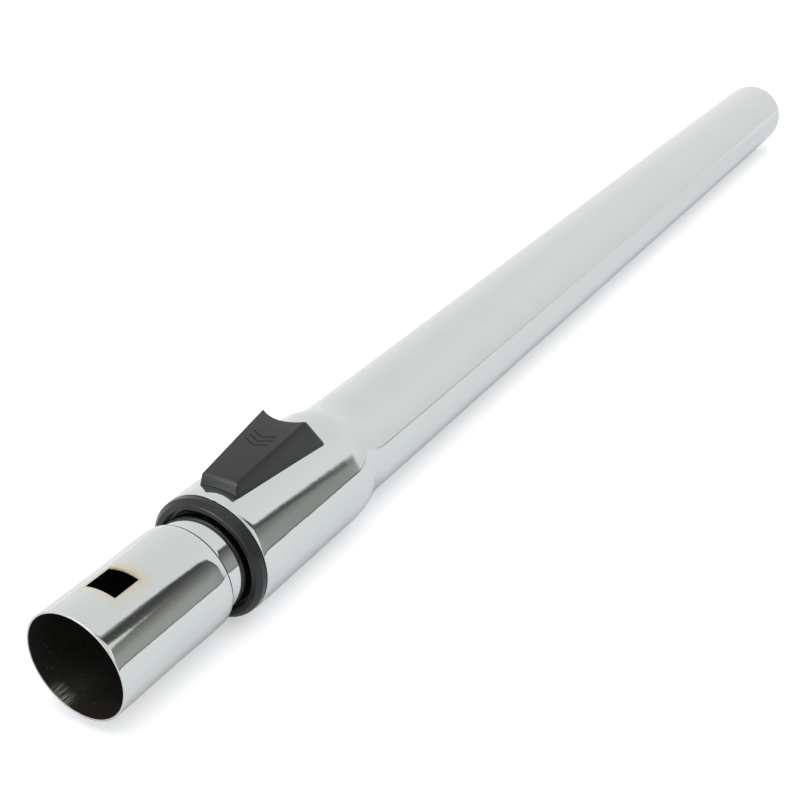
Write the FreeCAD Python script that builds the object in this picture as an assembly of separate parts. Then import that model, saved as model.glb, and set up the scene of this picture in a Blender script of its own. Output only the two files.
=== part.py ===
import FreeCAD, Part
import math
import os

# Telescopic vacuum wand, millimetres, lying along X.
# The origin is on the tube axis at the mouth of the hose socket. +X runs to the floor-tool end
# and +Z runs up through the slide button and the latch window.

Vector = FreeCAD.Vector
X_AXIS = Vector(1, 0, 0)
Y_AXIS = Vector(0, 1, 0)
Z_AXIS = Vector(0, 0, 1)

# Outer tube
TUBE_WALL = 0.8
OUTER_R = 17.5
OUTER_LENGTH = 530.1
OUTER_LIP_LENGTH = 2.6
OUTER_LIP_DROP = 0.35
LIP_MIDDLE_RUN = 0.55
LIP_MIDDLE_DROP = 0.25
BELL_RISE = 2.5
BELL_SPARE = 5.5
SHOULDER_LENGTH = 17.5

# Inner tube and its hose socket
SOCKET_STEP = 0.7
SOCKET_WALL = 0.6
SOCKET_STRAIGHT = 24.0
SOCKET_SWELL = 0.3
SOCKET_SWELL_LENGTH = 14.0
SOCKET_REAR_LENGTH = 4.5
SOCKET_SHOULDER_R = 5.06
NECK_PLAY = 1.3
NECK_SHOWN = 10.71
INNER_TAIL_MARGIN = 2.5

# Latch window in the socket
WINDOW_X0 = 12.1
WINDOW_LENGTH = 9.7
WINDOW_WIDTH = 10.1
WINDOW_CORNER_R = 0.4

# Telescope travel and its notches
NOTCH_COUNT = 13
NOTCH_PITCH = 30.0
STOP_GAP = 0.5

# Groove along the top of the inner tube
GROOVE_SETBACK = 2.1
GROOVE_RUNOUT = 4.0
GROOVE_DEPTH = 3.1
GROOVE_HALF_WIDTH = 5.6
GROOVE_GAP = 0.15

# Locking roller on its cross pin
ROLLER_R = 2.5
ROLLER_HALF_LENGTH = 3.2
ROLLER_STAND = 1.6
ROLLER_LIFT = 1.5
PIN_R = 0.8
PIN_HALF_LENGTH = 5.2
NOTCH_GAP = 0.15
CAGE_GAP = 0.1
CAGE_RISE = 1.8
PIN_GAP = 0.06

# Clearances shared by the fits
SLIDE_GAP = 0.15
BELL_GAP = 0.1
CARRIAGE_GAP = 0.25
WIPER_GAP = 0.05
OVERCUT = 1.0

# Collar ring in the bell's mouth
COLLAR_LENGTH = 3.5
COLLAR_CHAMFER = 1.4
COLLAR_NOSE_IN_R = 0.7
COLLAR_NOSE_OUT_R = 0.6
COLLAR_EDGE_TOL = 0.01
COLLAR_RIM_STEP = 0.3
COLLAR_RECESS = 1.1
COLLAR_RECESS_DEPTH = 2.6
COLLAR_SEAT_GAP = 0.15
COLLAR_LIP_LENGTH = 1.6
COLLAR_SPIGOT_LENGTH = 3.6
WIPER_THICKNESS = 2.1

# Guide sleeve inside the bell
SLEEVE_REAR_LENGTH = 9.2
SLEEVE_WALL_FRONT = 3.0
SEAL_SETBACK = 6.0
SEAL_SECTION_R = 0.74
SEAL_GROOVE_LENGTH = 2.4
SEAL_GROOVE_DEPTH = 1.5

# Carriage under the bell and its return springs
BUTTON_TRAVEL = 5.0
CARRIAGE_LENGTH = 20.0
CARRIAGE_HALF_WIDTH = 7.3
CARRIAGE_FLANGE_DROP = 0.5
LOCK_SETBACK = 8.0
CHEEK_WIDTH = 1.8
CHEEK_MARGIN = 4.0
TONGUE_LENGTH = 14.0
TONGUE_HALF_WIDTH = 3.3
TONGUE_RISE = 3.0
BEAD_R = 0.4
BEAD_RISE = 1.6
BEAD_INSET = 2.0
SLOT_GAP = 0.3
SPRING_LENGTH = 10.0
SPRING_R = 1.4
SPRING_WIRE_R = 0.2
SPRING_TURNS = 9
SPRING_Y = 6.0
SPRING_RISE = 1.3
SPRING_POST_R = 0.8
SPRING_POST_LENGTH = 4.0

# Slide button
BUTTON_GAP = 0.12
BUTTON_NOSE = 15.0
BUTTON_LENGTH = 41.4
BUTTON_SKIRT = 3.0
BUTTON_FOOT_FRONT_HALF = 7.3
BUTTON_FOOT_REAR_HALF = 10.25
BUTTON_FRONT_LEAN = 1.2
BUTTON_REAR_LEAN = 7.3
BUTTON_FRONT_RISE = 3.1
BUTTON_REAR_RISE = 8.0
BUTTON_TOP_FRONT_HALF = 6.3
BUTTON_TOP_REAR_HALF = 8.2
BUTTON_FRONT_CORNER_R = 1.0
BUTTON_REAR_CORNER_R = 1.3
BUTTON_HEEL_R = 1.2
BUTTON_BEVEL = 0.95
BUTTON_BEVEL_RUN = 0.67
BUTTON_RIDGE = 0.7
BUTTON_SKIN = 1.8
SCOOP_R = 14.0
CHEVRON_COUNT = 3
CHEVRON_PITCH = 2.07
CHEVRON_SETBACK = 12.2
CHEVRON_HALF_WIDTH = 4.15
CHEVRON_SWEEP = 1.9
CHEVRON_GROOVE = 0.38
CHEVRON_DEPTH = 0.3

# Tail guide ring on the far end of the inner tube
TAIL_RING_LENGTH = 12.0
TAIL_LUG_R = 2.4
TAIL_LUG_GAP = 0.1
TAIL_LUG_SETBACK = 3.0
TAIL_LUG_ANGLES = (60, 180, 300)
TAIL_SEAL_LENGTH = 3.0
TAIL_SEAL_SETBACK = 3.0
TAIL_SEAL_DEPTH = 0.6

# Radii and heights that follow
BELL_R = OUTER_R + BELL_RISE
BELL_BORE_R = BELL_R - TUBE_WALL
OUTER_BORE_R = OUTER_R - TUBE_WALL
NECK_R = OUTER_BORE_R - NECK_PLAY
NECK_BORE_R = NECK_R - TUBE_WALL
SOCKET_BORE_R = NECK_R + SOCKET_STEP
SOCKET_R = SOCKET_BORE_R + SOCKET_WALL
SWELL_R = SOCKET_R + SOCKET_SWELL
SHOULDER_Z = SWELL_R - SOCKET_SHOULDER_R
COLLAR_RIM_R = BELL_R - COLLAR_RIM_STEP
COLLAR_FACE_OUT_R = COLLAR_RIM_R - COLLAR_CHAMFER
COLLAR_FACE_IN_R = NECK_R + COLLAR_RECESS
WIPER_POCKET_R = NECK_R + WIPER_THICKNESS
SLEEVE_R = BELL_BORE_R - BELL_GAP
SLEEVE_BORE_R = NECK_R + SLIDE_GAP
CARRIAGE_TOP_R = BELL_BORE_R - SLIDE_GAP
TAIL_RING_R = OUTER_BORE_R - SLIDE_GAP
TAIL_RING_BORE_R = NECK_R + WIPER_GAP
GROOVE_FLOOR_Z = NECK_R - GROOVE_DEPTH
KEY_Z = GROOVE_FLOOR_Z + GROOVE_GAP
KEY_HALF_WIDTH = GROOVE_HALF_WIDTH - GROOVE_GAP
ROLLER_REST_Z = GROOVE_FLOOR_Z + ROLLER_STAND
BAR_TOP_Z = ROLLER_REST_Z + ROLLER_LIFT + CAGE_RISE
ROLLER_ROOM_Z = ROLLER_REST_Z + ROLLER_LIFT + ROLLER_R + CARRIAGE_GAP
CARRIAGE_FLANGE_Z = NECK_R - CARRIAGE_FLANGE_DROP
SPRING_Z = CARRIAGE_FLANGE_Z + SPRING_RISE
TONGUE_TOP_Z = BELL_R + TONGUE_RISE
BEAD_Z = BELL_R + BEAD_RISE
BUTTON_FOOT_Z = BELL_R - BUTTON_SKIRT
BUTTON_TOP_FRONT_Z = BELL_R + BUTTON_FRONT_RISE
BUTTON_TOP_REAR_Z = BELL_R + BUTTON_REAR_RISE

# Places along the axis that follow
SOCKET_SWELL_X = SOCKET_STRAIGHT + SOCKET_SWELL_LENGTH
SOCKET_SHOULDER_X = SOCKET_SWELL_X + SOCKET_REAR_LENGTH
NECK_START_X = SOCKET_SHOULDER_X + math.sqrt(SOCKET_SHOULDER_R ** 2 - (NECK_R - SHOULDER_Z) ** 2)
BELL_FRONT_X = NECK_START_X + NECK_SHOWN
OUTER_END_X = BELL_FRONT_X + OUTER_LENGTH
COLLAR_FACE_X = BELL_FRONT_X - COLLAR_LENGTH
COLLAR_RIM_X = COLLAR_FACE_X + COLLAR_CHAMFER
COLLAR_LIP_X = COLLAR_FACE_X + COLLAR_RECESS_DEPTH
WIPER_X0 = COLLAR_LIP_X + COLLAR_LIP_LENGTH
SLEEVE_X0 = BELL_FRONT_X + COLLAR_SPIGOT_LENGTH
GROOVE_START_X = BELL_FRONT_X + GROOVE_SETBACK
GROOVE_FULL_X = GROOVE_START_X + GROOVE_RUNOUT
POCKET_X0 = SLEEVE_X0 + SLEEVE_WALL_FRONT
CARRIAGE_X0 = POCKET_X0 + SPRING_LENGTH
CARRIAGE_X1 = CARRIAGE_X0 + CARRIAGE_LENGTH
POCKET_X1 = CARRIAGE_X1 + SLOT_GAP
SLEEVE_X1 = POCKET_X1 + SLEEVE_REAR_LENGTH
SEAL_GROOVE_X = SLEEVE_X1 - SEAL_SETBACK
BELL_SHOULDER_X = SLEEVE_X1 + BELL_SPARE
LOCK_X = CARRIAGE_X0 + LOCK_SETBACK
TONGUE_X0 = CARRIAGE_X0 + (CARRIAGE_LENGTH - TONGUE_LENGTH) / 2
TONGUE_X1 = TONGUE_X0 + TONGUE_LENGTH
BUTTON_FOOT_FRONT_X = TONGUE_X0 - BUTTON_NOSE
BUTTON_FOOT_REAR_X = BUTTON_FOOT_FRONT_X + BUTTON_LENGTH
BUTTON_TOP_FRONT_X = BUTTON_FOOT_FRONT_X + BUTTON_FRONT_LEAN
BUTTON_TOP_REAR_X = BUTTON_FOOT_REAR_X - BUTTON_REAR_LEAN
BUTTON_TOP_LENGTH = BUTTON_TOP_REAR_X - BUTTON_TOP_FRONT_X
BUTTON_SLOPE = (BUTTON_TOP_REAR_Z - BUTTON_TOP_FRONT_Z) / BUTTON_TOP_LENGTH
CHEVRON_FIRST_X = BUTTON_TOP_REAR_X - CHEVRON_SETBACK
TRAVEL = (NOTCH_COUNT - 1) * NOTCH_PITCH
TAIL_RING_X0 = SLEEVE_X1 + TRAVEL + STOP_GAP
TAIL_RING_X1 = TAIL_RING_X0 + TAIL_RING_LENGTH
INNER_END_X = TAIL_RING_X1 + INNER_TAIL_MARGIN

# Spans across the axis that follow
POCKET_HALF_WIDTH = CARRIAGE_HALF_WIDTH + SLOT_GAP
CHEEK_IN = ROLLER_HALF_LENGTH + CARRIAGE_GAP
CHEEK_OUT = CHEEK_IN + CHEEK_WIDTH


def at(x, r):
    """A point of a profile that is turned about the X axis."""
    return Vector(x, 0, r)


def line(a, b):
    return Part.makeLine(a, b)


def arc(a, middle, b):
    return Part.Arc(a, middle, b).toShape()


def turned(edges):
    """A solid of revolution about the X axis from a closed profile."""
    face = Part.Face(Part.Wire(Part.__sortEdges__(edges)))
    return face.revolve(Vector(0, 0, 0), X_AXIS, 360)


def turned_outline(points):
    """A solid of revolution from the corners of a closed profile."""
    corners = [at(x, r) for x, r in points]
    return turned([line(a, b) for a, b in zip(corners, corners[1:] + corners[:1])])


def rod(x0, x1, r, y=0.0, z=0.0):
    return Part.makeCylinder(r, x1 - x0, Vector(x0, y, z), X_AXIS)


def pipe(x0, x1, r_out, r_in):
    return rod(x0, x1, r_out).cut(rod(x0 - OVERCUT, x1 + OVERCUT, r_in))


def cross_rod(x, z, r, half_length):
    return Part.makeCylinder(r, 2 * half_length, Vector(x, -half_length, z), Y_AXIS)


def block(x0, x1, y0, y1, z0, z1):
    return Part.makeBox(x1 - x0, y1 - y0, z1 - z0, Vector(x0, y0, z0))


def mid_block(x0, x1, half_width, z0, z1):
    return block(x0, x1, -half_width, half_width, z0, z1)


def side_profile(points, half_width):
    """A prism across Y from a closed outline of (x, z) points."""
    corners = [Vector(x, -half_width, z) for x, z in points]
    face = Part.Face(Part.makePolygon(corners + corners[:1]))
    return face.extrude(Vector(0, 2 * half_width, 0))


def fused(first, *rest):
    for shape in rest:
        first = first.fuse(shape)
    return first


def edge_span(edge):
    """How far an edge's ends lie apart along each axis."""
    return edge.Vertexes[0].Point - edge.Vertexes[-1].Point


def shoulder_arcs(wall):
    """The S-shaped shoulder of the bell, moved inwards by wall, as two tangent arcs."""
    drop = BELL_R - OUTER_R
    bend_r = (SHOULDER_LENGTH ** 2 + drop ** 2) / (4 * drop)
    half_turn = math.atan2(SHOULDER_LENGTH / 2, bend_r - drop / 2) / 2
    start_x = BELL_SHOULDER_X
    end_x = BELL_SHOULDER_X + SHOULDER_LENGTH
    crown_r = bend_r - wall
    hollow_r = bend_r + wall
    start = at(start_x, BELL_R - wall)
    crown = at(start_x + crown_r * math.sin(half_turn),
               BELL_R - bend_r + crown_r * math.cos(half_turn))
    middle = at(start_x + crown_r * math.sin(2 * half_turn),
                BELL_R - bend_r + crown_r * math.cos(2 * half_turn))
    hollow = at(end_x - hollow_r * math.sin(half_turn),
                OUTER_R + bend_r - hollow_r * math.cos(half_turn))
    end = at(end_x, OUTER_R - wall)
    return [arc(start, crown, middle), arc(middle, hollow, end)]


def outer_lip(wall):
    """The rolled-in lip at the tool end, moved inwards by wall."""
    x0 = OUTER_END_X - OUTER_LIP_LENGTH
    r0 = OUTER_R - wall
    middle = at(x0 + OUTER_LIP_LENGTH * LIP_MIDDLE_RUN, r0 - OUTER_LIP_DROP * LIP_MIDDLE_DROP)
    return arc(at(x0, r0), middle, at(OUTER_END_X, r0 - OUTER_LIP_DROP))


def outer_tube():
    shoulder_end_x = BELL_SHOULDER_X + SHOULDER_LENGTH
    lip_x = OUTER_END_X - OUTER_LIP_LENGTH
    skins = []
    for wall in (0.0, TUBE_WALL):
        skins += [line(at(BELL_FRONT_X, BELL_R - wall), at(BELL_SHOULDER_X, BELL_R - wall))]
        skins += shoulder_arcs(wall)
        skins += [line(at(shoulder_end_x, OUTER_R - wall), at(lip_x, OUTER_R - wall))]
        skins += [outer_lip(wall)]
    lip_r = OUTER_R - OUTER_LIP_DROP
    skins += [line(at(BELL_FRONT_X, BELL_R), at(BELL_FRONT_X, BELL_BORE_R))]
    skins += [line(at(OUTER_END_X, lip_r), at(OUTER_END_X, lip_r - TUBE_WALL))]
    slot = mid_block(TONGUE_X0 - BUTTON_TRAVEL - SLOT_GAP, TONGUE_X1 + SLOT_GAP,
                     TONGUE_HALF_WIDTH + SLOT_GAP, 0, BELL_R + OVERCUT)
    return turned(skins).cut(slot)


def socket_shoulder(r, neck_r):
    """The rolled shoulder from the socket down to a neck radius, and its last point."""
    turn = math.acos((neck_r - SHOULDER_Z) / r)
    start, middle, end = [at(SOCKET_SHOULDER_X + r * math.sin(t), SHOULDER_Z + r * math.cos(t))
                          for t in (0, turn / 2, turn)]
    return arc(start, middle, end), end


def socket_and_neck():
    """The inner tube before its groove: swollen hose socket, rolled shoulder and straight neck."""
    swell_bore_r = SWELL_R - SOCKET_WALL
    outer_roll, outer_end = socket_shoulder(SOCKET_SHOULDER_R, NECK_R)
    inner_roll, inner_end = socket_shoulder(SOCKET_SHOULDER_R - SOCKET_WALL, NECK_BORE_R)
    outside = [
        line(at(0, SOCKET_R), at(SOCKET_STRAIGHT, SOCKET_R)),
        line(at(SOCKET_STRAIGHT, SOCKET_R), at(SOCKET_SWELL_X, SWELL_R)),
        line(at(SOCKET_SWELL_X, SWELL_R), at(SOCKET_SHOULDER_X, SWELL_R)),
        outer_roll,
        line(outer_end, at(INNER_END_X, NECK_R)),
        line(at(INNER_END_X, NECK_R), at(INNER_END_X, NECK_BORE_R)),
    ]
    inside = [
        line(at(INNER_END_X, NECK_BORE_R), inner_end),
        inner_roll,
        line(at(SOCKET_SHOULDER_X, swell_bore_r), at(SOCKET_SWELL_X, swell_bore_r)),
        line(at(SOCKET_SWELL_X, swell_bore_r), at(SOCKET_STRAIGHT, SOCKET_BORE_R)),
        line(at(SOCKET_STRAIGHT, SOCKET_BORE_R), at(0, SOCKET_BORE_R)),
        line(at(0, SOCKET_BORE_R), at(0, SOCKET_R)),
    ]
    return turned(outside + inside)


def groove_prism(offset, half_width):
    """The space of the groove, its floor and run-out moved inwards by offset."""
    floor_z = GROOVE_FLOOR_Z - offset
    start_x = GROOVE_START_X - offset
    end_x = INNER_END_X + OVERCUT
    roof_z = NECK_R + 2 * ROLLER_R
    outline = [(start_x, roof_z), (start_x, NECK_R - offset),
               (start_x + GROOVE_RUNOUT, floor_z), (end_x, floor_z), (end_x, roof_z)]
    return side_profile(outline, half_width)


def latch_window():
    window = mid_block(WINDOW_X0, WINDOW_X0 + WINDOW_LENGTH, WINDOW_WIDTH / 2, 0, SOCKET_R + OVERCUT)
    corners = [e for e in window.Edges if abs(edge_span(e).z) > OVERCUT]
    return window.makeFillet(WINDOW_CORNER_R, corners)


def tail_lug_holes(radius, r_from, r_to):
    """Round studs, or the holes for them, through the wall at the tail guide ring."""
    x = TAIL_RING_X1 - TAIL_LUG_SETBACK
    shapes = []
    for angle in TAIL_LUG_ANGLES:
        turn = math.radians(angle)
        outwards = Vector(0, math.sin(turn), math.cos(turn))
        start = Vector(x, 0, 0) + outwards * r_from
        shapes.append(Part.makeCylinder(radius, r_to - r_from, start, outwards))
    return shapes


def inner_tube():
    notch_r = ROLLER_R + NOTCH_GAP
    notch_half = ROLLER_HALF_LENGTH + NOTCH_GAP
    notch_x = [LOCK_X + i * NOTCH_PITCH for i in range(NOTCH_COUNT)]
    lining = groove_prism(TUBE_WALL, GROOVE_HALF_WIDTH + TUBE_WALL)
    lining = lining.common(rod(0, INNER_END_X, NECK_R))
    bulges = [cross_rod(x, ROLLER_REST_Z, notch_r + TUBE_WALL, notch_half + TUBE_WALL)
              for x in notch_x]
    troughs = [cross_rod(x, ROLLER_REST_Z, notch_r, notch_half) for x in notch_x]
    holes = tail_lug_holes(TAIL_LUG_R + TAIL_LUG_GAP, NECK_BORE_R - OVERCUT, NECK_R + OVERCUT)
    body = fused(socket_and_neck(), lining, *bulges)
    body = body.cut(groove_prism(0, GROOVE_HALF_WIDTH))
    body = body.cut(Part.makeCompound(troughs))
    return body.cut(Part.makeCompound(holes)).cut(latch_window())


def collar_ring():
    seat_x = BELL_FRONT_X - COLLAR_SEAT_GAP
    outline = [
        (COLLAR_FACE_X, COLLAR_FACE_IN_R), (COLLAR_FACE_X, COLLAR_FACE_OUT_R),
        (COLLAR_RIM_X, COLLAR_RIM_R), (seat_x, BELL_R - BELL_GAP), (seat_x, SLEEVE_R),
        (SLEEVE_X0, SLEEVE_R), (SLEEVE_X0, WIPER_POCKET_R), (WIPER_X0, WIPER_POCKET_R),
        (WIPER_X0, SLEEVE_BORE_R), (COLLAR_LIP_X, SLEEVE_BORE_R), (COLLAR_LIP_X, COLLAR_FACE_IN_R),
    ]
    ring = turned_outline(outline)
    for nose_r, face_r in ((COLLAR_NOSE_IN_R, COLLAR_FACE_IN_R), (COLLAR_NOSE_OUT_R, COLLAR_FACE_OUT_R)):
        ring = ring.makeFillet(nose_r, [e for e in ring.Edges if is_front_ring(e, face_r)])
    return ring


def is_front_ring(edge, r):
    """Whether an edge is the collar's front circle of radius r."""
    return edge.Closed and edge.BoundBox.XMax < COLLAR_FACE_X + COLLAR_EDGE_TOL \
        and abs(edge.BoundBox.ZLength / 2 - r) < COLLAR_EDGE_TOL


def wiper_ring():
    return pipe(WIPER_X0, SLEEVE_X0, WIPER_POCKET_R - WIPER_GAP, NECK_R + WIPER_GAP)


def guide_sleeve():
    """The bush in the bell, with the roller's cage bar across its open pocket."""
    shell = pipe(SLEEVE_X0, SLEEVE_X1, SLEEVE_R, SLEEVE_BORE_R)
    pocket = mid_block(POCKET_X0, POCKET_X1, POCKET_HALF_WIDTH, 0, BELL_R)
    rear_key = mid_block(POCKET_X1, SLEEVE_X1, KEY_HALF_WIDTH, KEY_Z, NECK_R + 2 * SLIDE_GAP)
    bar = mid_block(GROOVE_FULL_X, POCKET_X1 + OVERCUT, ROLLER_HALF_LENGTH, KEY_Z, BAR_TOP_Z)
    cage_half = ROLLER_R + CAGE_GAP
    cage = mid_block(LOCK_X - cage_half, LOCK_X + cage_half, CHEEK_IN, 0, BELL_R)
    posts = [rod(POCKET_X0 - OVERCUT, POCKET_X0 + SPRING_POST_LENGTH, SPRING_POST_R, y, SPRING_Z)
             for y in (-SPRING_Y, SPRING_Y)]
    seal_groove = pipe(SEAL_GROOVE_X, SEAL_GROOVE_X + SEAL_GROOVE_LENGTH,
                       SLEEVE_R + OVERCUT, SLEEVE_R - SEAL_GROOVE_DEPTH)
    return fused(shell.cut(pocket), rear_key, bar.cut(cage), *posts).cut(seal_groove)


def sleeve_seal_ring():
    middle_x = SEAL_GROOVE_X + SEAL_GROOVE_LENGTH / 2
    middle_r = BELL_BORE_R - SEAL_SECTION_R - WIPER_GAP
    return Part.makeTorus(middle_r, SEAL_SECTION_R, Vector(middle_x, 0, 0), X_AXIS)


def carriage_cam_slots():
    """The slanted slots that lift the roller's pin as the carriage moves to the mouth."""
    slot_r = PIN_R + PIN_GAP
    low = (LOCK_X, ROLLER_REST_Z)
    high = (LOCK_X + BUTTON_TRAVEL, ROLLER_REST_Z + ROLLER_LIFT)
    length = math.hypot(BUTTON_TRAVEL, ROLLER_LIFT)
    off_x = -ROLLER_LIFT / length * slot_r
    off_z = BUTTON_TRAVEL / length * slot_r
    outline = [(low[0] + off_x, low[1] + off_z), (high[0] + off_x, high[1] + off_z),
               (high[0] - off_x, high[1] - off_z), (low[0] - off_x, low[1] - off_z)]
    half = CHEEK_OUT + OVERCUT
    return fused(side_profile(outline, half), cross_rod(*low, slot_r, half),
                 cross_rod(*high, slot_r, half))


def lock_carriage():
    flanges = mid_block(CARRIAGE_X0, CARRIAGE_X1, CARRIAGE_HALF_WIDTH, CARRIAGE_FLANGE_Z, BELL_R)
    flanges = flanges.common(rod(CARRIAGE_X0, CARRIAGE_X1, CARRIAGE_TOP_R))
    cheeks = mid_block(LOCK_X - CHEEK_MARGIN, LOCK_X + BUTTON_TRAVEL + CHEEK_MARGIN, CHEEK_OUT,
                       GROOVE_FLOOR_Z + CARRIAGE_GAP, CARRIAGE_FLANGE_Z + OVERCUT)
    tongue = mid_block(TONGUE_X0, TONGUE_X1, TONGUE_HALF_WIDTH, CARRIAGE_TOP_R - OVERCUT, TONGUE_TOP_Z)
    beads = [rod(TONGUE_X0 + BEAD_INSET, TONGUE_X1 - BEAD_INSET, BEAD_R, y, BEAD_Z)
             for y in (-TONGUE_HALF_WIDTH, TONGUE_HALF_WIDTH)]
    channel = mid_block(CARRIAGE_X0 - OVERCUT, CARRIAGE_X1 + OVERCUT, CHEEK_IN,
                        0, BAR_TOP_Z + CARRIAGE_GAP)
    room_half = ROLLER_R + CARRIAGE_GAP
    room = mid_block(LOCK_X - room_half, LOCK_X + BUTTON_TRAVEL + room_half, CHEEK_IN, 0, ROLLER_ROOM_Z)
    body = fused(flanges, cheeks, tongue, *beads)
    return body.cut(channel).cut(room).cut(carriage_cam_slots())


def roller_pin():
    return cross_rod(LOCK_X, ROLLER_REST_Z, PIN_R, PIN_HALF_LENGTH)


def lock_roller():
    hole = cross_rod(LOCK_X, ROLLER_REST_Z, PIN_R + PIN_GAP, ROLLER_HALF_LENGTH + OVERCUT)
    return cross_rod(LOCK_X, ROLLER_REST_Z, ROLLER_R, ROLLER_HALF_LENGTH).cut(hole)


def return_spring(y):
    """A coil between the front wall of the sleeve's pocket and the carriage."""
    coil_length = SPRING_LENGTH - 2 * SPRING_WIRE_R - 2 * WIPER_GAP
    coil_r = SPRING_R - SPRING_WIRE_R
    helix = Part.makeHelix(coil_length / SPRING_TURNS, coil_length, coil_r)
    section = Part.Wire(Part.makeCircle(SPRING_WIRE_R, Vector(coil_r, 0, 0), Y_AXIS))
    coil = Part.Wire(helix).makePipeShell([section], True, True)
    start = Vector(POCKET_X0 + SPRING_WIRE_R + WIPER_GAP, y, SPRING_Z)
    coil.Placement = FreeCAD.Placement(start, FreeCAD.Rotation(Z_AXIS, X_AXIS))
    return coil


def button_wedge():
    """The button's outer form: leaning sides that flare to the rear, and a rising top."""
    foot = [(BUTTON_FOOT_FRONT_X, BUTTON_FOOT_FRONT_HALF), (BUTTON_FOOT_REAR_X, BUTTON_FOOT_REAR_HALF)]
    top = [(BUTTON_TOP_FRONT_X, BUTTON_TOP_FRONT_HALF), (BUTTON_TOP_REAR_X, BUTTON_TOP_REAR_HALF)]
    foot_z = (BUTTON_FOOT_Z, BUTTON_FOOT_Z)
    top_z = (BUTTON_TOP_FRONT_Z, BUTTON_TOP_REAR_Z)
    wires = []
    for ends, heights in ((foot, foot_z), (top, top_z)):
        left = [Vector(x, half, z) for (x, half), z in zip(ends, heights)]
        right = [Vector(p.x, -p.y, p.z) for p in reversed(left)]
        wires.append(Part.makePolygon(left + right + left[:1]))
    wedge = Part.makeLoft(wires, True, True)
    wedge = wedge.makeChamfer(BUTTON_RIDGE, [e for e in wedge.Edges if is_ridge(e)])
    middle_x = (BUTTON_TOP_FRONT_X + BUTTON_TOP_REAR_X) / 2
    rear = [e for e in wedge.Edges if is_corner(e) and e.CenterOfMass.x > middle_x]
    wedge = wedge.makeFillet(BUTTON_REAR_CORNER_R, rear)
    front = [e for e in wedge.Edges if is_corner(e) and e.CenterOfMass.x < middle_x]
    return wedge.makeFillet(BUTTON_FRONT_CORNER_R, front)


def is_ridge(edge):
    return edge.CenterOfMass.z > BUTTON_TOP_FRONT_Z and abs(edge_span(edge).x) > BUTTON_TOP_LENGTH / 2


def is_corner(edge):
    span = edge_span(edge)
    return abs(span.z) > BUTTON_FRONT_RISE and abs(span.x) < BUTTON_TOP_LENGTH / 2


def button_front_bevel():
    """The wedge of space above the bevel along the button's front top edge."""
    x0 = BUTTON_TOP_FRONT_X
    x1 = x0 + BUTTON_BEVEL_RUN
    low_z = BUTTON_TOP_FRONT_Z - BUTTON_BEVEL
    high_z = BUTTON_TOP_FRONT_Z + OVERCUT
    outline = [(BUTTON_FOOT_FRONT_X, high_z), (BUTTON_FOOT_FRONT_X, low_z), (x0, low_z),
               (x1, BUTTON_TOP_FRONT_Z + BUTTON_SLOPE * BUTTON_BEVEL_RUN), (x1, high_z)]
    return side_profile(outline, BUTTON_FOOT_REAR_HALF)


def button_heel():
    """The space outside the rounded corner where the sloping rear comes down to the bell."""
    lean = math.atan2(BUTTON_TOP_REAR_Z - BUTTON_FOOT_Z, BUTTON_REAR_LEAN)
    reach = BUTTON_HEEL_R / math.tan(lean / 2)
    x0 = BUTTON_FOOT_REAR_X - reach
    x1 = BUTTON_FOOT_REAR_X - reach * math.cos(lean)
    z1 = BUTTON_FOOT_Z + reach * math.sin(lean)
    low_z = BUTTON_FOOT_Z - OVERCUT
    outline = [(x0, BUTTON_FOOT_Z + BUTTON_HEEL_R), (x0, low_z), (BUTTON_FOOT_REAR_X + reach, low_z),
               (x1 + OVERCUT * math.sin(lean), z1 + OVERCUT * math.cos(lean)), (x1, z1)]
    half = BUTTON_FOOT_REAR_HALF + OVERCUT
    middle = Vector(x0, -half, BUTTON_FOOT_Z + BUTTON_HEEL_R)
    return side_profile(outline, half).cut(Part.makeCylinder(BUTTON_HEEL_R, 2 * half, middle, Y_AXIS))


def thumb_scoop():
    """A dished hollow down the button's sloping rear, as wide as its top edge."""
    down = Vector(BUTTON_REAR_LEAN, 0, BUTTON_FOOT_Z - BUTTON_TOP_REAR_Z)
    length = down.Length
    down.normalize()
    outwards = Vector(-down.z, 0, down.x)
    stand_off = math.sqrt(SCOOP_R ** 2 - BUTTON_TOP_REAR_HALF ** 2)
    top = Vector(BUTTON_TOP_REAR_X, 0, BUTTON_TOP_REAR_Z)
    start = top + outwards * stand_off - down * length
    return Part.makeCylinder(SCOOP_R, 3 * length, start, down)


def chevron_arm(tip_x, side):
    """One slanting half of a groove across the button's top."""
    end_x = tip_x + CHEVRON_SWEEP
    end_y = side * CHEVRON_HALF_WIDTH
    outline = [(tip_x, 0), (end_x, end_y), (end_x + CHEVRON_GROOVE, end_y), (tip_x + CHEVRON_GROOVE, 0)]
    floor_z = BUTTON_TOP_FRONT_Z - CHEVRON_DEPTH
    points = [Vector(x, y, floor_z + BUTTON_SLOPE * (x - BUTTON_TOP_FRONT_X)) for x, y in outline]
    face = Part.Face(Part.makePolygon(points + points[:1]))
    return face.extrude(Vector(0, 0, CHEVRON_DEPTH + OVERCUT))


def chevrons():
    """Thin V grooves that point to the mouth."""
    tips = [CHEVRON_FIRST_X - i * CHEVRON_PITCH for i in range(CHEVRON_COUNT)]
    return Part.makeCompound([chevron_arm(x, side) for x in tips for side in (-1, 1)])


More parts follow.
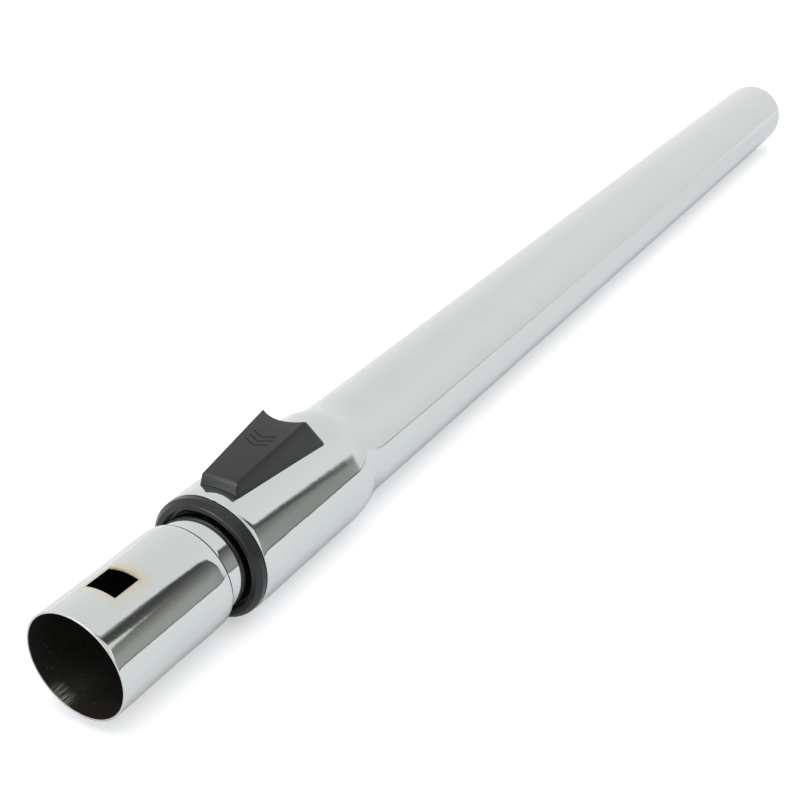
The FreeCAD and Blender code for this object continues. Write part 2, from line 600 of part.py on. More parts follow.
def button_hollows():
    """The snap socket for the carriage's tongue and a coring pocket on each side of it."""
    socket = mid_block(TONGUE_X0 - BELL_GAP, TONGUE_X1 + BELL_GAP, TONGUE_HALF_WIDTH + BELL_GAP,
                       0, TONGUE_TOP_Z + BELL_GAP)
    beads = [rod(TONGUE_X0 + BEAD_INSET - BELL_GAP, TONGUE_X1 - BEAD_INSET + BELL_GAP,
                 BEAD_R + BELL_GAP, y, BEAD_Z) for y in (-TONGUE_HALF_WIDTH, TONGUE_HALF_WIDTH)]
    core_z = BUTTON_TOP_FRONT_Z - BUTTON_SKIN
    front = mid_block(BUTTON_TOP_FRONT_X + 2 * BUTTON_SKIN, TONGUE_X0 - BUTTON_SKIN,
                      TONGUE_HALF_WIDTH, 0, core_z)
    rear = mid_block(TONGUE_X1 + BUTTON_SKIN, TONGUE_X1 + 2 * BUTTON_SKIN, TONGUE_HALF_WIDTH, 0, core_z)
    return Part.makeCompound([socket, front, rear] + beads)


def slide_button():
    button = button_wedge().cut(button_front_bevel()).cut(button_heel()).cut(thumb_scoop())
    button = button.cut(rod(0, OUTER_END_X, BELL_R + BUTTON_GAP))
    return button.cut(chevrons()).cut(button_hollows())


def tail_seal_space(r_in, r_out, gap):
    x0 = TAIL_RING_X0 + TAIL_SEAL_SETBACK
    return pipe(x0 + gap, x0 + TAIL_SEAL_LENGTH - gap, r_out, r_in)


def tail_guide_ring():
    """The ring that runs in the outer tube, keyed in the groove and held by lugs in the wall."""
    foot_r = TAIL_RING_BORE_R + SLIDE_GAP
    ring = pipe(TAIL_RING_X0, TAIL_RING_X1, TAIL_RING_R, TAIL_RING_BORE_R)
    key = mid_block(TAIL_RING_X0, TAIL_RING_X1, KEY_HALF_WIDTH, KEY_Z, foot_r)
    lugs = tail_lug_holes(TAIL_LUG_R, NECK_BORE_R, foot_r)
    groove = tail_seal_space(TAIL_RING_R - TAIL_SEAL_DEPTH, TAIL_RING_R + OVERCUT, 0)
    return fused(ring, key, *lugs).cut(groove)


def tail_seal_ring():
    return tail_seal_space(TAIL_RING_R - TAIL_SEAL_DEPTH + WIPER_GAP, OUTER_BORE_R - WIPER_GAP, WIPER_GAP)


def all_pieces():
    pieces = {
        "outer_tube": outer_tube(),
        "inner_tube": inner_tube(),
        "collar_ring": collar_ring(),
        "wiper_ring": wiper_ring(),
        "guide_sleeve": guide_sleeve(),
        "sleeve_seal_ring": sleeve_seal_ring(),
        "slide_button": slide_button(),
        "lock_carriage": lock_carriage(),
        "lock_roller": lock_roller(),
        "roller_pin": roller_pin(),
        "tail_guide_ring": tail_guide_ring(),
        "tail_seal_ring": tail_seal_ring(),
    }
    for side, y in (("left", SPRING_Y), ("right", -SPRING_Y)):
        pieces["return_spring_" + side] = return_spring(y)
    return pieces


def save(pieces):
    os.makedirs("parts", exist_ok=True)
    for name, shape in pieces.items():
        shape.exportStep("parts/" + name + ".step")
        print(name, shape.isValid(), len(shape.Solids), round(shape.Volume, 1))


save(all_pieces())
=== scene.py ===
"""Telescopic vacuum wand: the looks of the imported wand, laid out as a Blender add-on.

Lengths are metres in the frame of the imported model. +X runs from the mouth of the hose socket
to the tool end, and +Z runs up through the slide button.
"""

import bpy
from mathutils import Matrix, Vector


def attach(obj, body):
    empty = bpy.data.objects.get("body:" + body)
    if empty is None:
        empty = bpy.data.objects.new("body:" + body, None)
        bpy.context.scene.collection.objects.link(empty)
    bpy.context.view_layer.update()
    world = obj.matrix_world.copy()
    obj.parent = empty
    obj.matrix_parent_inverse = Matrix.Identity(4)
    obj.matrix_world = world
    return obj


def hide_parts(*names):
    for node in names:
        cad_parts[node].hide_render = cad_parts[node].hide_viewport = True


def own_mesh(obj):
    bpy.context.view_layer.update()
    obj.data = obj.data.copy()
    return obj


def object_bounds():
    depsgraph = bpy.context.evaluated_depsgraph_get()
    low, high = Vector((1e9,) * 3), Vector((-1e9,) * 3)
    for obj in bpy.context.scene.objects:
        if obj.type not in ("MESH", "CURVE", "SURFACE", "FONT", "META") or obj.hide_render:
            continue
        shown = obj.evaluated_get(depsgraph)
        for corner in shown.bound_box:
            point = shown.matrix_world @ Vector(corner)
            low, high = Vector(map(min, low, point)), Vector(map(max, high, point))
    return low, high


bl_info = {
    "name": "Telescopic vacuum wand",
    "version": (1, 0, 0),
    "blender": (4, 5, 0),
    "location": "View3D > Sidebar > Wand",
    "description": "Chrome tubes, collar, slide button and studio of a telescopic vacuum wand",
    "category": "Object",
}

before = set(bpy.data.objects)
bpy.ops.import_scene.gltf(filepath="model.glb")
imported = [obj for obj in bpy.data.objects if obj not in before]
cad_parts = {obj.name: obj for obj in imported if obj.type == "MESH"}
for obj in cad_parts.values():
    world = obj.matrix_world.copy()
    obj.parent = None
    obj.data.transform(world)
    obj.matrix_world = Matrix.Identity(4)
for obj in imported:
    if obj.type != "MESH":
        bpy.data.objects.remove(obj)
CAD_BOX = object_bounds()

import math

import bmesh
import bpy
from bpy.props import FloatProperty, FloatVectorProperty, IntProperty, PointerProperty
from bpy.types import Operator, Panel, PropertyGroup
from mathutils import Matrix, Vector

MM = 0.001
QUARTER_TURN = math.pi / 2
FULL_TURN = 2 * math.pi

# How finely round forms are divided
ROUND_STEPS = 144
ARC_STEPS = 14
LIP_STEPS = 10
COIL_STEPS = 24

# The bends at which an outline is softened, an edge is bevelled and shading breaks
SOFT_BEND = math.radians(20)
BEVEL_ANGLE = math.radians(30)
SHARP_ANGLE = math.radians(32)

# Roundings of small edges. One takes at most CORNER_SHARE of the side that it cuts into.
CORNER_SHARE = 0.48
EDGE_ROUND = 0.12 * MM
COLLAR_EDGE = 0.2 * MM
WIPER_EDGE = 0.3 * MM
TAIL_SEAL_EDGE = 0.15 * MM
BUTTON_EDGE = 0.22 * MM

# Lengths and angles that no size of a piece gives
WELD = 1e-7
OVERCUT = 1.0 * MM
FLAT_RUN = 1.0 * MM
BEAD_INSET = 1.9 * MM
SPRING_GAP = 0.05 * MM
BORE_ROD = 200 * MM
LUG_ANGLES = (60, 180, 300)

# How a face looks from the tube's axis: 1 is straight outwards and -1 straight inwards
FACES_OUT = 0.9
FACES_IN = -0.5
SAWN_FACE = 0.3
SAWN_TILT = 0.2

# The camera that was fitted to the photograph, and the lamps: name, size, place and target
CAMERA_PLACE = (-0.17387, -0.19867, 0.21454)
CAMERA_RIGHT = (0.5060, -0.8624, 0.0)
CAMERA_VIEW = (0.7574, 0.4443, -0.4785)
KEY_LAMP = ("key", 1.6, (0.15, -0.25, 1.3), (0.25, 0.0, 0.0))
FILL_LAMP = ("fill", 1.2, (-0.8, 0.9, 0.8), (0.2, 0.0, 0.0))


def length(name, description, millimetres):
    """A length that a user can change, given here in millimetres."""
    return FloatProperty(name=name, description=description, default=millimetres * MM,
                         unit="LENGTH", precision=5)


def colour(name, description, value):
    return FloatVectorProperty(name=name, description=description, default=value, size=3,
                               subtype="COLOR", min=0.0, max=1.0)


# The sizes and finishes that a user can change


class WandTubeSizes(PropertyGroup):
    """Sizes of the outer tube and its bell."""

    radius: length("Tube radius", "Outside radius of the main tube", 17.5)
    wall: length("Wall", "Wall of both tubes", 0.8)
    end: length("Tool end", "Place of the tool end along the axis", 587.002)
    lip_length: length("Lip length", "Length of the rolled lip at the tool end", 2.6)
    lip_drop: length("Lip drop", "How far the lip rolls inwards", 0.35)
    bell_radius: length("Bell radius", "Outside radius of the bell", 20.0)
    bell_front: length("Bell front", "Place of the bell's front edge", 56.903)
    roll_length: length("Rolled edge", "Length of the bell's rolled front edge", 2.0)
    roll_drop: length("Rolled edge drop", "How far the bell's front edge rolls inwards", 0.16)
    bell_rear: length("Bell rear", "Where the bell's shoulder starts", 108.503)
    shoulder: length("Shoulder length", "Length of the S-shaped shoulder", 17.5)
    slot_front: length("Slot front", "Front of the tongue's slot", 71.203)
    slot_rear: length("Slot rear", "Rear of the tongue's slot", 90.803)
    slot_half: length("Slot half width", "Half width of the tongue's slot", 3.6)


class WandSocketSizes(PropertyGroup):
    """Sizes of the inner tube with its hose socket and its notched groove."""

    bore: length("Socket bore", "Inside radius of the hose socket", 16.1)
    wall: length("Socket wall", "Wall of the hose socket", 0.6)
    straight: length("Socket length", "Straight part of the socket", 24.0)
    swell: length("Swell", "How much the socket's rear is wider", 0.3)
    swell_end: length("Swell end", "Where the swell is full", 38.0)
    ease_start: length("Ease start", "Where the socket starts to round off", 41.0)
    ease_radius: length("Ease radius", "Radius of the gentle part of the shoulder", 25.0)
    roll_start: length("Roll start", "Where the tight part of the shoulder starts", 44.4)
    roll_radius: length("Roll radius", "Radius of the tight part of the shoulder", 2.1)
    hollow_radius: length("Hollow radius", "Rounding where the shoulder meets the neck", 0.35)
    neck: length("Neck radius", "Outside radius of the inner tube", 15.4)
    end: length("Tail", "Place of the inner tube's tail", 478.003)
    window_front: length("Window front", "Front edge of the latch window", 12.1)
    window_length: length("Window length", "Length of the latch window", 9.7)
    window_width: length("Window width", "Width of the latch window", 10.1)
    window_corner: length("Window corner", "Corner radius of the latch window", 0.4)
    window_edge: length("Window edge", "How far the latch window's sharp edge is broken", 0.14)
    groove_start: length("Groove start", "Where the groove's run-out starts", 59.003)
    groove_run_out: length("Run-out", "Length of the groove's run-out", 4.0)
    groove_floor: length("Groove floor", "Height of the groove's floor over the axis", 12.3)
    groove_half: length("Groove half width", "Half width of the groove", 5.6)
    notch_count: IntProperty(name="Notches", description="Number of notches", default=13, min=1)
    notch_first: length("First notch", "Place of the first notch", 81.503)
    notch_pitch: length("Notch pitch", "Distance between notches", 30.0)
    notch_height: length("Notch height", "Height of the notches' centres over the axis", 13.9)
    notch_radius: length("Notch radius", "Radius of a notch's trough", 2.65)
    notch_half: length("Notch half width", "Half the width of a notch", 3.35)
    lug_place: length("Lug place", "Place of the tail ring's lugs", 472.503)
    lug_hole: length("Lug hole radius", "Radius of the holes for the lugs", 2.5)


class WandRingSizes(PropertyGroup):
    """Sizes of the collar, the wiper and the seals."""

    front: length("Collar front", "Place of the collar's front face", 53.403)
    face_inner: length("Face inner radius", "Inner radius of the collar's front face", 16.5)
    face_outer: length("Face outer radius", "Outer radius of the collar's front face", 18.3)
    rim_place: length("Rim place", "Place of the collar's widest rim", 54.803)
    rim_radius: length("Rim radius", "Radius of the collar's widest rim", 19.7)
    seat: length("Seat", "Where the collar meets the bell", 56.62)
    seat_radius: length("Seat radius", "Radius of the collar at the bell's edge", 19.8)
    nose_inner: length("Inner nose", "Rounding of the collar's inner front edge", 0.7)
    nose_outer: length("Outer nose", "Rounding of the collar's outer front edge", 0.6)
    spigot_radius: length("Spigot radius", "Radius of the collar's spigot", 19.1)
    spigot_end: length("Spigot end", "Rear end of the collar's spigot", 60.503)
    lip_place: length("Lip place", "Front of the collar's inner lip", 56.003)
    lip_radius: length("Lip radius", "Radius of the collar's inner lip", 15.55)
    pocket_place: length("Pocket place", "Front of the wiper's pocket", 57.603)
    pocket_radius: length("Pocket radius", "Radius of the wiper's pocket", 17.5)
    play: length("Play", "Play of the wiper and the seals", 0.05)
    seal_place: length("Seal place", "Middle of the sleeve's seal", 98.203)
    seal_radius: length("Seal radius", "Radius to the middle of the seal's cord", 18.41)
    seal_cord: length("Seal cord radius", "Radius of the seal's cord", 0.74)
    tail_front: length("Tail seal front", "Front of the tail's seal", 466.553)
    tail_rear: length("Tail seal rear", "Rear of the tail's seal", 469.453)
    tail_inner: length("Tail seal inner radius", "Inner radius of the tail's seal", 16.0)
    tail_outer: length("Tail seal outer radius", "Outer radius of the tail's seal", 16.65)


class WandButtonSizes(PropertyGroup):
    """Sizes of the slide button."""

    foot_front: length("Foot front", "Front of the button's foot", 61.503)
    foot_rear: length("Foot rear", "Rear of the button's foot", 102.903)
    foot_height: length("Foot height", "Height at which the sides end under the bell's top", 17.0)
    foot_front_half: length("Foot front half width", "Half the foot's width at its front", 7.3)
    foot_rear_half: length("Foot rear half width", "Half the foot's width at its rear", 10.25)
    top_front: length("Top front", "Front of the button's top", 62.703)
    top_rear: length("Top rear", "Rear of the button's top", 95.603)
    top_front_height: length("Top front height", "Height of the top at its front", 23.1)
    top_rear_height: length("Top rear height", "Height of the top at its rear", 28.0)
    top_front_half: length("Top front half width", "Half the top's width at its front", 6.3)
    top_rear_half: length("Top rear half width", "Half the top's width at its rear", 8.2)
    ridge: length("Ridge chamfer", "Chamfer along the top's two long edges", 0.7)
    front_corner: length("Front corner radius", "Radius of the front upright corners", 1.0)
    rear_corner: length("Rear corner radius", "Radius of the rear upright corners", 1.3)
    heel: length("Heel radius", "Rounding where the sloping rear comes down to the bell", 1.2)
    bevel: length("Front bevel", "Height of the bevel along the front edge", 0.95)
    bevel_run: length("Front bevel run", "Length of the bevel along the front edge", 0.67)
    scoop: length("Scoop radius", "Radius of the thumb scoop", 14.0)
    bell_bore: length("Underside radius", "Radius of the button's hollow underside", 20.12)
    chevron_first: length("First chevron", "Tip of the rearmost chevron", 83.403)
    chevron_pitch: length("Chevron pitch", "Distance between chevrons", 2.07)
    chevron_half: length("Chevron half width", "Half the width of a chevron", 4.15)
    chevron_sweep: length("Chevron sweep", "How far a chevron's arms sweep back", 1.9)
    chevron_groove: length("Chevron groove", "Width of a chevron's groove", 0.38)
    chevron_depth: length("Chevron depth", "Depth of a chevron's groove", 0.3)
    chevron_count: IntProperty(name="Chevrons", description="Number of chevrons", default=3, min=1)
    tongue_front: length("Tongue front", "Front of the carriage's tongue", 76.503)
    tongue_rear: length("Tongue rear", "Rear of the carriage's tongue", 90.503)
    tongue_half: length("Tongue half width", "Half width of the carriage's tongue", 3.3)
    tongue_top: length("Tongue top", "Height of the carriage's tongue", 23.0)
    bead_height: length("Bead height", "Height of the snap beads on the tongue", 21.6)
    bead_radius: length("Bead radius", "Radius of the snap beads on the tongue", 0.4)
    snap_play: length("Snap play", "Play between the tongue and its socket", 0.1)


class WandSpringSizes(PropertyGroup):
    """Sizes of the two return springs."""

    front: length("Front", "Place of the springs' front ends", 63.503)
    length: length("Length", "Length of the springs", 10.0)
    side: length("Side", "How far the springs stand from the middle", 6.0)
    height: length("Height", "Height of the springs over the axis", 16.2)
    radius: length("Radius", "Outside radius of the springs", 1.4)
    wire: length("Wire radius", "Radius of the springs' wire", 0.2)
    turns: IntProperty(name="Turns", description="Number of turns", default=9, min=2)


class WandFinishes(PropertyGroup):
    """Colours of the finishes."""

    chrome: colour("Chrome", "Bright chrome plate", (0.715, 0.745, 0.735))
    bare_steel: colour("Bare steel", "Dark steel inside the tubes", (0.055, 0.053, 0.048))
    rust: colour("Edge tint", "Warm tint at the cut edges", (0.80, 0.60, 0.38))
    collar: colour("Collar", "Gloss black plastic", (0.009, 0.010, 0.012))
    button: colour("Button", "Satin black plastic", (0.014, 0.0150, 0.0145))
    sleeve: colour("Sleeve", "Sliding plastic", (0.020, 0.020, 0.022))
    carriage: colour("Carriage", "Carriage plastic", (0.045, 0.045, 0.047))
    felt: colour("Felt", "Pressed felt", (0.045, 0.044, 0.043))
    rubber: colour("Rubber", "Seal rubber", (0.018, 0.018, 0.018))
    ground_steel: colour("Ground steel", "Hardened ground steel", (0.55, 0.55, 0.56))
    wire: colour("Wire", "Drawn spring wire", (0.48, 0.48, 0.49))


class WandStudio(PropertyGroup):
    """The floor, the lights and the camera."""

    floor_gap: length("Floor gap", "Gap between the bell and the floor", 0.1)
    floor_colour: colour("Floor", "Pale floor", (0.79, 0.80, 0.82))
    floor_near: FloatProperty(name="Floor's near edge", description="Where the table's edge lies",
                              default=-0.20, unit="LENGTH")
    floor_reach: FloatProperty(name="Floor reach", description="How far the floor reaches",
                               default=3.0, unit="LENGTH")
    key_power: FloatProperty(name="Key light", description="Power of the lamp overhead",
                             default=14.0, min=0.0, unit="POWER")
    fill_power: FloatProperty(name="Fill light", description="Power of the lamp at the side",
                              default=4.0, min=0.0, unit="POWER")
    lens: FloatProperty(name="Lens", description="Focal length on a 36 mm sensor",
                        default=56.67, unit="CAMERA")


PROPERTY_GROUPS = {
    "wand_tube": WandTubeSizes,
    "wand_socket": WandSocketSizes,
    "wand_rings": WandRingSizes,
    "wand_button": WandButtonSizes,
    "wand_springs": WandSpringSizes,
    "wand_finishes": WandFinishes,
    "wand_studio": WandStudio,
}


# Meshes


def new_piece(name, mesh):
    piece = bpy.data.objects.new(name, mesh)
    bpy.context.scene.collection.objects.link(piece)
    return piece


def mesh_from_faces(name, points, faces):
    mesh = bpy.data.meshes.new(name)
    mesh.from_pydata([tuple(p) for p in points], [], faces)
    builder = bmesh.new()
    builder.from_mesh(mesh)
    bmesh.ops.remove_doubles(builder, verts=builder.verts, dist=WELD)
    bmesh.ops.recalc_face_normals(builder, faces=builder.faces)
    builder.to_mesh(mesh)
    builder.free()
    return mesh


def arc_points(centre, radius, start, end, steps=ARC_STEPS):
    """Points of an arc in the (x, r) plane, angles in radians."""
    turns = [start + (end - start) * i / steps for i in range(steps + 1)]
    return [(centre[0] + radius * math.cos(t), centre[1] + radius * math.sin(t)) for t in turns]


def softened(points, size=EDGE_ROUND, steps=5, own_sizes=None):
    """A closed profile with each real corner rounded, some by their own size."""
    soft = []
    for i, here in enumerate(points):
        before = Vector(points[i - 1]) - Vector(here)
        after = Vector(points[(i + 1) % len(points)]) - Vector(here)
        bend = math.pi - before.angle(after)
        if bend < SOFT_BEND:
            soft.append(tuple(here))
            continue
        size_here = (own_sizes or {}).get(i, size)
        cut = min(size_here * math.tan(bend / 2),
                  before.length * CORNER_SHARE, after.length * CORNER_SHARE)
        first = Vector(here) + before.normalized() * cut
        last = Vector(here) + after.normalized() * cut
        for j in range(steps + 1):
            t = j / steps
            point = first * (1 - t) ** 2 + Vector(here) * 2 * t * (1 - t) + last * t ** 2
            soft.append(tuple(point))
    return soft


def turned_mesh(name, profile):
    """A closed (x, r) profile turned about the X axis."""
    count = len(profile)
    points = []
    for i in range(ROUND_STEPS):
        turn = FULL_TURN * i / ROUND_STEPS
        points += [(x, r * math.sin(turn), r * math.cos(turn)) for x, r in profile]
    faces = []
    for i in range(ROUND_STEPS):
        here = i * count
        there = (i + 1) % ROUND_STEPS * count
        for j in range(count):
            k = (j + 1) % count
            faces.append((here + j, here + k, there + k, there + j))
    return mesh_from_faces(name, points, faces)


def prism_mesh(name, outline, extrusion):
    """A closed outline of 3-D points pushed along a vector."""
    count = len(outline)
    points = [Vector(p) for p in outline]
    points += [p + Vector(extrusion) for p in points]
    faces = [tuple(range(count)), tuple(range(2 * count - 1, count - 1, -1))]
    faces += [(i, (i + 1) % count, (i + 1) % count + count, i + count) for i in range(count)]
    return mesh_from_faces(name, points, faces)


def side_prism(name, outline, half_width):
    return prism_mesh(name, [(x, -half_width, z) for x, z in outline], (0, 2 * half_width, 0))


def box_mesh(name, low, high):
    outline = [(low[0], low[2]), (high[0], low[2]), (high[0], high[2]), (low[0], high[2])]
    return prism_mesh(name, [(x, low[1], z) for x, z in outline], (0, high[1] - low[1], 0))


def rod_mesh(name, start, along, radius, steps=96):
    """A round rod from a point along a vector."""
    along = Vector(along)
    turn = Vector((0, 0, 1)).rotation_difference(along)
    ring = arc_points((0, 0), radius, 0, FULL_TURN, steps)[:-1]
    ring = [Vector((*p, 0)) for p in ring]
    return prism_mesh(name, [Vector(start) + turn @ p for p in ring], along)


def applied(piece):
    """Puts the piece's modifiers into its mesh."""
    view = bpy.context.evaluated_depsgraph_get()
    mesh = bpy.data.meshes.new_from_object(piece.evaluated_get(view))
    old = piece.data
    piece.modifiers.clear()
    piece.data = mesh
    mesh.name = old.name
    bpy.data.meshes.remove(old)


def combine(piece, tool_mesh, operation="DIFFERENCE"):
    """Cuts a tool from the piece, or joins it on, and throws the tool away."""
    tool = new_piece("tool", tool_mesh)
    step = piece.modifiers.new("combine", "BOOLEAN")
    step.operation = operation
    step.solver = "EXACT"
    step.object = tool
    applied(piece)
    bpy.data.objects.remove(tool)
    bpy.data.meshes.remove(tool_mesh)
    if not piece.data.polygons:
        raise RuntimeError("nothing is left of " + piece.name)


def bevelled(piece, width):
    """Rounds the piece's sharp edges."""
    edges = piece.modifiers.new("edges", "BEVEL")
    edges.width = width
    edges.segments = 3
    edges.limit_method = "ANGLE"
    edges.angle_limit = BEVEL_ANGLE
    edges.use_clamp_overlap = True
    applied(piece)


def smooth(piece):
    for polygon in piece.data.polygons:
        polygon.use_smooth = True
    piece.data.set_sharp_from_angle(angle=SHARP_ANGLE)


def place_in_model(piece, body, node):
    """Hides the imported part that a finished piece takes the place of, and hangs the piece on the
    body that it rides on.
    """
    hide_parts(node)
    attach(piece, body)


def dressed(mesh, material, body, node):
    """A smooth piece of one material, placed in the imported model."""
    piece = new_piece(mesh.name, mesh)
    smooth(piece)
    mesh.materials.append(material)
    place_in_model(piece, body, node)
    return piece


# Shaders


class Socket:
    """A node's output that Python arithmetic turns into Math nodes."""

    def __init__(self, shader, output):
        self.shader = shader
        self.output = output

    def __add__(self, other):
        return self.shader.maths("ADD", self, other)

    def __sub__(self, other):
        return self.shader.maths("SUBTRACT", self, other)

    def __rsub__(self, other):
        return self.shader.maths("SUBTRACT", other, self)

    def __mul__(self, other):
        return self.shader.maths("MULTIPLY", self, other)

    def __truediv__(self, other):
        return self.shader.maths("DIVIDE", self, other)

    def __abs__(self):
        return self.shader.maths("ABSOLUTE", self)

    __radd__ = __add__
    __rmul__ = __mul__


class Shader:
    """Builds the nodes of one material or world."""

    def __init__(self, tree):
        self.tree = tree
        tree.nodes.clear()

    def node(self, kind, settings=None, values=None, output=0):
        """Adds a node: its settings first, then the values or links of its sockets."""
        node = self.tree.nodes.new(kind)
        for name, setting in (settings or {}).items():
            if name == "stops":
                self.set_stops(node.color_ramp, setting)
            elif name == "interpolation":
                node.color_ramp.interpolation = setting
            else:
                setattr(node, name, setting)
        for name, value in (values or {}).items():
            if isinstance(value, Socket):
                self.tree.links.new(value.output, node.inputs[name])
            else:
                node.inputs[name].default_value = value
        return Socket(self, node.outputs[output]) if node.outputs else node

    @staticmethod
    def set_stops(ramp, stops):
        while len(ramp.elements) < len(stops):
            ramp.elements.new(1.0)
        for element, (place, grey) in zip(ramp.elements, stops):
            element.position = place
            element.color = (grey, grey, grey, 1.0)

    def maths(self, operation, first, second=0.0):
        return self.node("ShaderNodeMath", {"operation": operation}, {0: first, 1: second})

    def ramp(self, factor, stops, smooth_steps=False):
        """A grey ramp over a value."""
        kind = "EASE" if smooth_steps else "LINEAR"
        return self.node("ShaderNodeValToRGB", {"stops": stops, "interpolation": kind},
                         {0: factor})

    def rise(self, value, start, run, smooth_steps=False):
        """0 before start, 1 from start + run on. A minus run counts down from start."""
        value = (value - start) / run if start else value / run
        return self.ramp(value, [(0.0, 0.0), (1.0, 1.0)], smooth_steps)

    def mix(self, factor, first, second):
        """Two colours, the node's sockets 6 and 7, mixed by a factor."""
        first, second = [rgba(c) for c in (first, second)]
        return self.node("ShaderNodeMix", {"data_type": "RGBA"},
                         {0: factor, 6: first, 7: second}, 2)

    def place(self):
        """The place on the object, in metres."""
        return self.node("ShaderNodeTexCoord", output=3)

    def axes(self, vector):
        """The three parts of a vector."""
        parts = self.node("ShaderNodeSeparateXYZ", values={0: vector}).output.node.outputs
        return [Socket(self, part) for part in parts]

    def noise(self, scale, detail=3.0, roughness=0.55, stretch=(1.0, 1.0, 1.0)):
        """Noise from 0 to 1, in lumps of about one over scale, in metres."""
        vector = self.node("ShaderNodeVectorMath", {"operation": "MULTIPLY"},
                           {0: self.place(), 1: [scale * s for s in stretch]})
        return self.node("ShaderNodeTexNoise", values={"Vector": vector, "Scale": 1.0,
                                                       "Detail": detail, "Roughness": roughness})

    def bump(self, height, distance):
        return self.node("ShaderNodeBump", values={"Distance": distance, "Height": height})

    def surface(self, values):
        """The material's shader, from the values or links of its sockets."""
        shader = self.node("ShaderNodeBsdfPrincipled", values=values)
        self.node("ShaderNodeOutputMaterial", values={"Surface": shader})


def rgba(value):
    return value if isinstance(value, Socket) else (*value[:3], 1.0)


def new_shader(name):
    material = bpy.data.materials.new(name)
    material.use_nodes = True
    return material, Shader(material.node_tree)


def plate_values(shader, tint, stain=None):
    """Bright plate: a hard mirror with faint polish marks, dust specks and an uneven skin."""
    polish = shader.noise(26.0, stretch=(1.0, 46.0, 46.0), detail=4.0)
    specks = shader.rise(shader.noise(2300.0, detail=1.0), 0.73, 0.07)
    skin = shader.noise(420.0, detail=2.0, stretch=(0.45, 1.0, 1.0))
    waves = shader.noise(70.0, detail=1.0, stretch=(0.35, 1.0, 1.0))
    roughness = 0.045 + polish * 0.03 + specks * 0.22
    return {
        "Base Color": shader.mix(specks * 0.10, tint, (0.40, 0.40, 0.38)),
        "Metallic": 1.0,
        "Roughness": roughness if stain is None else roughness + stain * 0.06,
        "Normal": shader.bump(waves + skin * 0.22 + polish * 0.03, 0.060 * MM),
    }


def chrome_tint(shader):
    chrome = bpy.context.scene.wand_finishes.chrome
    return shader.mix(shader.noise(55.0, detail=2.0), chrome, [c * 0.95 for c in chrome])


def chrome_material():
    material, shader = new_shader("bright chrome plate")
    shader.surface(plate_values(shader, chrome_tint(shader)))
    return material


def window_chrome_material():
    """The inner tube's plate, with the warm stain round the latch window's cut edge."""
    sizes = bpy.context.scene.wand_socket
    material, shader = new_shader("bright chrome plate of the socket")
    along, across, _ = shader.axes(shader.place())
    middle = sizes.window_front + sizes.window_length / 2
    off_x = shader.maths("MAXIMUM", abs(along - middle) - sizes.window_length / 2, 0.0)
    off_y = shader.maths("MAXIMUM", abs(across) - sizes.window_width / 2, 0.0)
    reach = shader.maths("SQRT", off_x * off_x + off_y * off_y)
    ragged = reach + (shader.noise(500.0, detail=3.0) - 0.5) * (1.4 * MM)
    rear = shader.ramp((along - middle) / (6 * MM), [(0.0, 0.6), (1.0, 1.0)])
    halo = (1 - shader.rise(ragged, 0.0, 4.6 * MM, True)) * rear
    scorch = (1 - shader.rise(ragged, 0.0, 0.9 * MM)) * rear
    tint = shader.mix(halo, chrome_tint(shader), (0.73, 0.69, 0.52))
    tint = shader.mix(scorch * 0.5, tint, (0.56, 0.45, 0.28))
    shader.surface(plate_values(shader, tint, halo))
    return material


def bare_steel_material():
    """The dark inside of the tubes, rubbed bright on one side of the mouth's bottom, with painted
    glints: sparse bright specks in its colour.
    """
    finishes = bpy.context.scene.wand_finishes
    material, shader = new_shader("dark steel bore")
    along, across, height = shader.axes(shader.place())
    lines = shader.noise(150.0, detail=2.0, stretch=(1.0, 18.0, 18.0))
    rubbed = (across * 0.5 - height * 0.866) / bpy.context.scene.wand_socket.bore
    mouth = 1 - shader.rise(along, 1.44 * MM, 3.36 * MM)
    scratch = shader.rise(lines, 0.48, 0.12) * shader.rise(rubbed, 0.962, 0.028) * mouth
    # Painted glints: sparse bright specks in the colour stand in for small highlights
    specks = shader.rise(shader.noise(1500.0, detail=1.0), 0.72, 0.05)
    # The bright mask holds the real scratches together with the painted glints
    bright = shader.maths("MAXIMUM", scratch, specks * 0.6)
    cloud = shader.noise(140.0, detail=4.0)
    dark = shader.mix(cloud, finishes.bare_steel, [c * 0.6 for c in finishes.bare_steel])
    shader.surface({
        "Base Color": shader.mix(bright, dark, (0.46, 0.45, 0.41)),
        "Metallic": 0.6,
        "Roughness": 0.42 - scratch * 0.12,
        "Normal": shader.bump(lines * 0.6 + cloud * 0.4, 0.02 * MM),
    })
    return material


def cut_edge_material():
    """The sawn edges of the latch window and the mouth: bright metal with a warm stain."""
    finishes = bpy.context.scene.wand_finishes
    material, shader = new_shader("cut edge")
    spots = shader.noise(1500.0, detail=3.0)
    warm = shader.ramp(spots, [(0.35, 0.6), (0.60, 1.0)])
    shader.surface({
        "Base Color": shader.mix(warm, finishes.chrome, finishes.rust),
        "Metallic": 0.4,
        "Roughness": 0.22 + spots * 0.25,
        "Normal": shader.bump(spots, 0.02 * MM),
    })
    return material


def plastic_material(name, colour_value, roughness, grain, depth):
    """Moulded black plastic with a spark-eroded grain, rubbed and dusty in places."""
    material, shader = new_shader(name)
    skin = shader.noise(grain, detail=2.0, roughness=0.6)
    cloud = shader.noise(120.0, detail=3.0)
    dust = shader.rise(shader.noise(1700.0, detail=1.0), 0.70, 0.08)
    rubbed = shader.mix(cloud, colour_value, [c * 1.5 for c in colour_value])
    shader.surface({
        "Base Color": shader.mix(dust * 0.12, rubbed, (0.35, 0.35, 0.34)),
        "Roughness": roughness - 0.06 + cloud * 0.12,
        "IOR": 1.49,
        "Normal": shader.bump(skin * 0.8 + cloud * 0.2, depth),
    })
    return material


